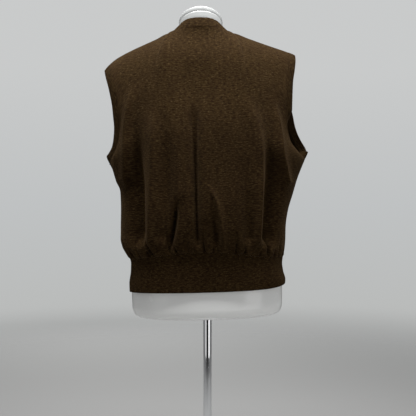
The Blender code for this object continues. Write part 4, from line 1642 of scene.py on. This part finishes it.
class Graph:
    """The nodes of one material or world."""

    def __init__(self, tree: bpy.types.NodeTree) -> None:
        """Start with an empty tree."""
        self.tree = tree
        tree.nodes.clear()

    def node(self, kind: str, settings: dict, inputs: dict) -> bpy.types.Node:
        """Add a node.

        Args:
            kind: Its type.
            settings: Its properties; "stops" are a ramp's places and colours.
            inputs: Values, sockets or numbers by socket name or number.

        Returns:
            The node.
        """
        node = self.tree.nodes.new(kind)
        for name, setting in settings.items():
            if name == "stops":
                self.set_stops(node.color_ramp, setting)
            else:
                setattr(node, name, setting)
        for name, given in inputs.items():
            given = given.socket if isinstance(given, Value) else given
            if isinstance(given, Socket):
                self.tree.links.new(given, node.inputs[name])
            else:
                node.inputs[name].default_value = given
        return node

    @staticmethod
    def set_stops(ramp: bpy.types.ColorRamp, stops: Stops) -> None:
        """Give a colour ramp its stops.

        Args:
            ramp: The ramp.
            stops: Places from 0 to 1, each with its colour.
        """
        while len(ramp.elements) < len(stops):
            ramp.elements.new(0.5)
        for element, (place, colour) in zip(ramp.elements, stops):
            element.position = place
            element.color = (*colour, 1.0)

    def value(self, kind: str, settings: dict, inputs: dict, output: str | int = 0) -> Value:
        """Add a node and return one of its outputs as a value."""
        return Value(self, self.node(kind, settings, inputs).outputs[output])

    def math(self, operation: str, *numbers: Number) -> Value:
        """Add a Math node and return its result."""
        settings = {"operation": operation}
        return self.value("ShaderNodeMath", settings, dict(enumerate(numbers)))

    def mix(self, share: Number, one: object, other: object) -> Socket:
        """Mix two colours.

        Args:
            share: How much of the other colour.
            one: A colour or a socket.
            other: A colour or a socket.

        Returns:
            The mixed colour's socket.
        """
        first, second = ((*c, 1.0) if isinstance(c, tuple) else c for c in (one, other))
        node = self.node("ShaderNodeMix", {"data_type": "RGBA"}, {0: share, 6: first, 7: second})
        return node.outputs[2]

    def point(self, x: Number, y: Number, z: Number = 0.0) -> Socket:
        """Combine three numbers to a vector."""
        return self.node("ShaderNodeCombineXYZ", {}, {0: x, 1: y, 2: z}).outputs[0]

    def parts(self, vector: Socket) -> tuple[Value, Value, Value]:
        """Take a vector apart."""
        node = self.node("ShaderNodeSeparateXYZ", {}, {0: vector})
        return tuple(Value(self, socket) for socket in node.outputs)

    def place(self) -> tuple[Value, Value, Value]:
        """Return the three Object coordinates."""
        return self.parts(self.node("ShaderNodeTexCoord", {}, {}).outputs["Object"])

    def noise(self, place: tuple[Value, ...], grain: Grain) -> Value:
        """Make noise.

        Args:
            place: Two or three coordinates.
            grain: Its grain, with a size for each of them.

        Returns:
            The noise, from 0 to 1.
        """
        where = self.point(*(number / size for number, size in zip(place, grain.sizes)))
        inputs = {"Vector": where, "Scale": 1.0, "Detail": grain.detail, "Roughness": grain.rough}
        return self.value("ShaderNodeTexNoise", {}, inputs)

    def bump(self, height: Value, distance: float, strength: float) -> Socket:
        """Return normals bent by a height, in metres at 1."""
        inputs = {"Height": height, "Distance": distance, "Strength": strength}
        return self.node("ShaderNodeBump", {}, inputs).outputs[0]


def new_material(name: str) -> tuple[Material, Graph]:
    """Make a material.

    Args:
        name: Its name.

    Returns:
        The material and the graph of its nodes.
    """
    material = bpy.data.materials.new(name)
    material.use_nodes = True
    return material, Graph(material.node_tree)


# ---------------------------------------------------------------- finishes


@dataclass(frozen=True)
class Finish:
    """A finish, which the inputs of one Principled shader make up."""

    name: str

    def inputs(self, graph: Graph) -> dict[str, object]:
        """Return the shader's inputs, for which it adds nodes to the graph."""
        raise NotImplementedError

    def material(self) -> Material:
        """Make the finish's material.

        Returns:
            The material.
        """
        material, graph = new_material(self.name)
        shader = graph.node("ShaderNodeBsdfPrincipled", {}, self.inputs(graph))
        graph.node("ShaderNodeOutputMaterial", {}, {"Surface": shader.outputs[0]})
        return material


class Knit(Enum):
    """The two ways the wool is knitted."""

    JERSEY = "jersey"
    RIB = "rib"


@dataclass(frozen=True)
class HeatherWool(Finish):
    """Fine wool knit from a blended yarn of dark brown, olive brown and pale fibres."""

    knit: Knit = Knit.JERSEY
    dark: Colour = (0.0080, 0.0031, 0.0007)
    middle: Colour = (0.0262, 0.0140, 0.0043)
    light: Colour = (0.076, 0.051, 0.0205)
    streak: Grain = Grain((0.0086, 0.0028), 3.0, 0.6)
    fibre: Grain = Grain((0.0050, 0.0018), 2.0, 0.6)
    cloud: Grain = Grain((0.045, 0.045))
    nap: Grain = Grain((0.0011, 0.0009), 3.0, 0.7)
    middle_between: tuple[float, float] = (0.30, 0.64)
    pale_between: tuple[float, float] = (0.38, 0.58)
    pale_shares: tuple[float, float] = (0.12, 0.67)
    fibre_between: tuple[float, float] = (0.5, 0.68)
    cloud_between: tuple[float, float] = (0.35, 0.7)
    cloud_share: float = 0.25
    wale: float = 0.0019
    course: float = 0.0014
    stitch_height: float = 0.00035
    nap_height: float = 0.0006
    streak_height: float = 0.0002
    streak_shine: float = 0.08
    leg_share: float = 0.35
    relief: float = 0.7
    roughness: float = 0.98
    gloss: float = 0.05
    sheen: float = 0.12
    sheen_roughness: float = 0.45
    sheen_tint: tuple[float, ...] = (0.55, 0.36, 0.18, 1.0)

    def inputs(self, graph: Graph) -> dict[str, object]:
        """Blend the yarns, and raise stitches and nap.

        Args:
            graph: The material's graph.

        Returns:
            The shader's inputs.
        """
        flat = graph.node("ShaderNodeUVMap", {"uv_map": CLOTH_MAP}, {}).outputs[0]
        place = graph.parts(flat)[:2]
        grains = (self.streak, self.fibre, self.cloud, self.nap)
        streaks, fibres, clouds, nap = (graph.noise(place, grain) for grain in grains)
        colour = graph.mix(streaks.between(*self.middle_between), self.dark, self.middle)
        least, most = self.pale_shares
        pale = streaks.between(*self.pale_between) * (most - least) + least
        colour = graph.mix(fibres.between(*self.fibre_between) * pale, colour, self.light)
        shade = clouds.between(*self.cloud_between) * self.cloud_share
        colour = graph.mix(shade, colour, self.dark)
        height = self.stitches(*place) * self.stitch_height
        height = height + nap * self.nap_height + streaks * self.streak_height
        return {
            "Base Color": colour,
            "Roughness": self.roughness - streaks * self.streak_shine,
            "Specular IOR Level": self.gloss,
            "Sheen Weight": self.sheen,
            "Sheen Roughness": self.sheen_roughness,
            "Sheen Tint": self.sheen_tint,
            "Normal": graph.bump(height, 1.0, self.relief),
        }

    def stitches(self, along: Value, up: Value) -> Value:
        """Shape the stitches: slanted legs side by side in each column.

        Args:
            along: The place across the cloth.
            up: The place up it.

        Returns:
            The stitches' height there.
        """
        place = (along / self.wale).fraction() - 0.5
        slant = place.size() if self.knit is Knit.JERSEY else place.size() * 0.5
        legs = ((up / self.course + slant) * (2 * math.pi)).sine()
        return legs * self.leg_share + (1.0 - place.size() * 2.0) * (1.0 - self.leg_share)


@dataclass(frozen=True)
class GlossLacquer(Finish):
    """The torso's pale grey lacquer, a little scuffed by use, with painted shade over the neck's
    top.
    """

    name: str = "form_gloss_lacquer"
    colour: Colour = (0.87, 0.875, 0.86)
    scuffed: Colour = (0.72, 0.72, 0.70)
    # painted shade: the neck's top is turned to this darker grey
    painted_neck_shade: Colour = (0.43, 0.44, 0.435)
    neck_shade_between: tuple[float, float] = (1.10, 1.15)
    haze: Grain = Grain((0.06, 0.06, 0.09), 3.0)
    mark: Grain = Grain((0.011, 0.011, 0.004), 3.0, 0.7)
    peel: Grain = Grain((0.004, 0.004, 0.004), 1.0)
    marks_between: tuple[float, float] = (0.62, 0.75)
    haze_between: tuple[float, float] = (0.45, 0.65)
    scuffed_share: float = 0.6
    roughness: float = 0.22
    haze_dulls: float = 0.08
    wear_dulls: float = 0.2
    coat: float = 0.35
    coat_roughness: float = 0.08
    peel_height: float = 0.00006
    relief: float = 0.6

    def inputs(self, graph: Graph) -> dict[str, object]:
        """Scuff the lacquer, and paint shade over the top of the neck.

        Args:
            graph: The material's graph.

        Returns:
            The shader's inputs.
        """
        place = graph.place()
        grains = (self.haze, self.mark, self.peel)
        haze, marks, peel = (graph.noise(place, grain) for grain in grains)
        worn = marks.between(*self.marks_between) * haze.between(*self.haze_between)
        body = graph.mix(worn * self.scuffed_share, self.colour, self.scuffed)
        return {
            # painted shade: the lacquer darkens to about half its brightness between 1.10 and 1.15
            # m up, over the neck's top
            "Base Color": graph.mix(place[2].between(*self.neck_shade_between), body, self.painted_neck_shade),
            "Roughness": self.roughness + haze * self.haze_dulls + worn * self.wear_dulls,
            "Coat Weight": self.coat,
            "Coat Roughness": self.coat_roughness,
            "Normal": graph.bump(peel, self.peel_height, self.relief),
        }


@dataclass(frozen=True)
class PolishedChrome(Finish):
    """The pole's plating, with faint marks of wiping."""

    name: str = "pole_polished_chrome"
    colour: Colour = (0.80, 0.81, 0.82)
    dulled: Colour = (0.72, 0.73, 0.75)
    wipe: Grain = Grain((0.004, 0.004, 0.05), 3.0)
    wiped_between: tuple[float, float] = (0.5, 0.8)
    roughness: float = 0.06
    wipe_dulls: float = 0.10

    def inputs(self, graph: Graph) -> dict[str, object]:
        """Wipe the plating up and down.

        Args:
            graph: The material's graph.

        Returns:
            The shader's inputs.
        """
        wiped = graph.noise(graph.place(), self.wipe)
        return {
            "Base Color": graph.mix(wiped, self.colour, self.dulled),
            "Metallic": 1.0,
            "Roughness": self.roughness + wiped.between(*self.wiped_between) * self.wipe_dulls,
        }


@dataclass(frozen=True)
class BrushedSteel(Finish):
    """The base's steel, brushed in rings on a lathe."""

    name: str = "base_brushed_steel"
    colour: Colour = (0.60, 0.61, 0.62)
    grooved: Colour = (0.50, 0.51, 0.53)
    ring: Grain = Grain((0.0006, 0.0006), 3.0, 0.7)
    smudge: Grain = Grain((0.05, 0.05, 0.05), 3.0)
    smudges_between: tuple[float, float] = (0.5, 0.75)
    roughness: float = 0.24
    rings_dull: float = 0.16
    smudges_dull: float = 0.12
    ring_height: float = 0.00008
    relief: float = 0.5

    def inputs(self, graph: Graph) -> dict[str, object]:
        """Brush the steel in rings, and smudge it.

        Args:
            graph: The material's graph.

        Returns:
            The shader's inputs.
        """
        x, y, z = graph.place()
        rings = graph.noise(((x * x + y * y) ** 0.5, z), self.ring)
        smudges = graph.noise((x, y, z), self.smudge).between(*self.smudges_between)
        return {
            "Base Color": graph.mix(rings, self.colour, self.grooved),
            "Metallic": 1.0,
            "Roughness": self.roughness + rings * self.rings_dull + smudges * self.smudges_dull,
            "Normal": graph.bump(rings, self.ring_height, self.relief),
        }


# ---------------------------------------------------------------- studio


@dataclass(frozen=True)
class SoftLight:
    """One rectangular soft light, aimed at a point."""

    name: str
    place: tuple[float, float, float]
    aim: tuple[float, float, float]
    size: tuple[float, float]
    power: float
    colour: Colour = (1.0, 1.0, 1.0)

    def build(self) -> None:
        """Hang the light, out of the camera's own sight."""
        data = bpy.data.lights.new(self.name, "AREA")
        data.shape = "RECTANGLE"
        data.size, data.size_y = self.size
        data.energy = self.power
        data.color = self.colour
        obj = bpy.data.objects.new(self.name, data)
        bpy.context.scene.collection.objects.link(obj)
        obj.location = self.place
        way = Vector(self.aim) - Vector(self.place)
        obj.rotation_euler = way.to_track_quat("-Z", "Y").to_euler()
        obj.visible_camera = False


@dataclass(frozen=True)
class Studio:
    """A pale floor that fades into a pale room, soft lights and the camera."""

    floor_radius: float = 6.0
    floor_sides: int = 96
    floor_colour: Colour = (0.43, 0.43, 0.424)
    fade_from: float = 0.75
    fade_to: float = 3.6
    eye: tuple[float, float, float] = (-0.00115, 1.5, 0.73)
    view_width: float = 0.957
    sensor: float = 36.0
    wall: Stops = (
        # place from straight down to straight up, colour as the camera sees it, with the wall's
        # light and shade painted in: darker below, lighter above
        (0.0, (0.36, 0.36, 0.355)),
        (0.36, (0.39, 0.395, 0.39)),
        (0.43, (0.49, 0.50, 0.495)),
        (0.50, (0.52, 0.535, 0.54)),
        (0.60, (0.58, 0.59, 0.59)),
        (1.0, (0.62, 0.63, 0.63)),
    )
    glow: Stops = (
        # place from straight down to straight up, light it gives at the sides
        (0.0, (0.10, 0.10, 0.10)),
        (0.40, (0.20, 0.20, 0.20)),
        (0.60, (0.30, 0.30, 0.30)),
        (1.0, (0.60, 0.61, 0.63)),
    )
    ahead: float = 0.12
    sides_between: tuple[float, float] = (0.3, 0.95)
    lights: tuple[SoftLight, ...] = (
        SoftLight("ceiling", (0.0, 0.30, 1.95), (0.0, 0.0, 1.0), (1.2, 0.6), 38.0),
        SoftLight("fill", (0.6, -2.6, 1.25), (0.0, 0.0, 0.95), (1.4, 1.2), 22.0),
        SoftLight("window", (0.03, 3.0, 1.95), (0.0, 0.0, 0.95), (0.22, 0.9), 0.9),
        SoftLight("left_strip", (1.3, 1.35, 0.85), (0.0, 0.0, 0.8), (0.8, 1.4), 3.0),
        SoftLight("right_strip", (-1.3, 1.35, 0.85), (0.0, 0.0, 0.8), (0.8, 1.4), 6.4),
    )

    def build(self) -> None:
        """Build floor, room, lights and camera."""
        self.build_floor()
        self.build_room()
        for light in self.lights:
            light.build()
        self.build_camera()

    def build_floor(self) -> None:
        """Lay the floor, clear near the stand and faded out towards the room."""
        deselect()
        bpy.ops.mesh.primitive_circle_add(
            vertices=self.floor_sides, radius=self.floor_radius, fill_type="TRIFAN"
        )
        floor = bpy.context.object
        floor.name = "pale_floor"
        material, graph = new_material("pale_floor")
        x, y, _ = graph.place()
        away = ((x * x + y * y) ** 0.5).between(self.fade_from, self.fade_to)
        colour = {"Color": (*self.floor_colour, 1.0)}
        matt = graph.node("ShaderNodeBsdfDiffuse", {}, colour).outputs[0]
        clear = graph.node("ShaderNodeBsdfTransparent", {}, {}).outputs[0]
        mixed = graph.node("ShaderNodeMixShader", {}, {0: away, 1: matt, 2: clear})
        graph.node("ShaderNodeOutputMaterial", {}, {"Surface": mixed.outputs[0]})
        floor.data.materials.append(material)

    def build_room(self) -> None:
        """Give the world the pale wall that shows, and the light of the room's sides."""
        world = bpy.data.worlds.new("pale_room")
        world.use_nodes = True
        graph = Graph(world.node_tree)
        direction = graph.node("ShaderNodeTexCoord", {}, {}).outputs["Generated"]
        across, _, up = graph.parts(direction)
        wall, light = (
            graph.node("ShaderNodeValToRGB", {"stops": stops}, {0: up * 0.5 + 0.5}).outputs[0]
            for stops in (self.wall, self.glow)
        )
        aside = across.size().between(*self.sides_between) * (1.0 - self.ahead) + self.ahead
        light = graph.mix(aside, (0.0, 0.0, 0.0), light)
        seen = Value(graph, graph.node("ShaderNodeLightPath", {}, {}).outputs[0])
        glow = graph.node("ShaderNodeBackground", {}, {"Color": graph.mix(seen, light, wall)})
        graph.node("ShaderNodeOutputWorld", {}, {"Surface": glow.outputs[0]})
        bpy.context.scene.world = world

    def build_camera(self) -> None:
        """Set the level camera behind the vest."""
        data = bpy.data.cameras.new("camera")
        data.sensor_width = self.sensor
        data.lens = self.sensor * self.eye[1] / self.view_width
        camera = bpy.data.objects.new("camera", data)
        bpy.context.scene.collection.objects.link(camera)
        camera.location = self.eye
        camera.rotation_euler = (math.radians(90.0), 0.0, math.radians(180.0))
        bpy.context.scene.camera = camera
        bpy.context.scene.view_settings.view_transform = "Standard"


# ---------------------------------------------------------------- the whole


def build_vest(shape: VestShape, form: BVHTree) -> None:
    """Build every piece of the vest.

    Args:
        shape: The worn vest's outer surface.
        form: The torso it rests on.
    """
    jersey, rib = (HeatherWool(f"heather_wool_{knit.value}", knit).material() for knit in Knit)
    creases = {Face.BACK: BACK_FOLDS + BACK_CREASES, Face.FRONT: FRONT_FOLDS + FRONT_CREASES}
    for face in Face:
        name = face.name.lower()
        cloth = Cloth(f"{name}_panel_knit", f"{name}_panel", "panel_wool", PANEL_WALL)
        Panel(face, shape, cloth, creases[face]).build(jersey, form)
    for face in Face:
        name = face.name.lower()
        cloth = Cloth(f"hem_rib_{name}", f"hem_band_{name}", "rib_wool", BAND_WALL)
        HemBand(face, shape, cloth).build(rib)
    for side in Side:
        name = side.name.lower()
        cloth = Cloth(f"armhole_rib_{name}", f"armhole_band_{name}", "rib_wool", BAND_WALL, True)
        ArmholeBand(cloth, side=side, shape=shape).build(rib)
    neck = Cloth("neck_rib", "neckband", "rib_wool", BAND_WALL, True)
    NeckBand(neck, shape=shape).build(rib)


def main() -> None:
    """Load the frame, dress every piece, and light it."""
    logging.basicConfig(level=logging.INFO, format="%(name)s: %(message)s")
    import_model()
    shape = VestShape()
    build_vest(shape, Torso(shape.torso).build(GlossLacquer().material()))
    Pole().build(PolishedChrome().material())
    RoundBase().build(BrushedSteel().material())
    Studio().build()


if __name__ == "__main__":
    main()
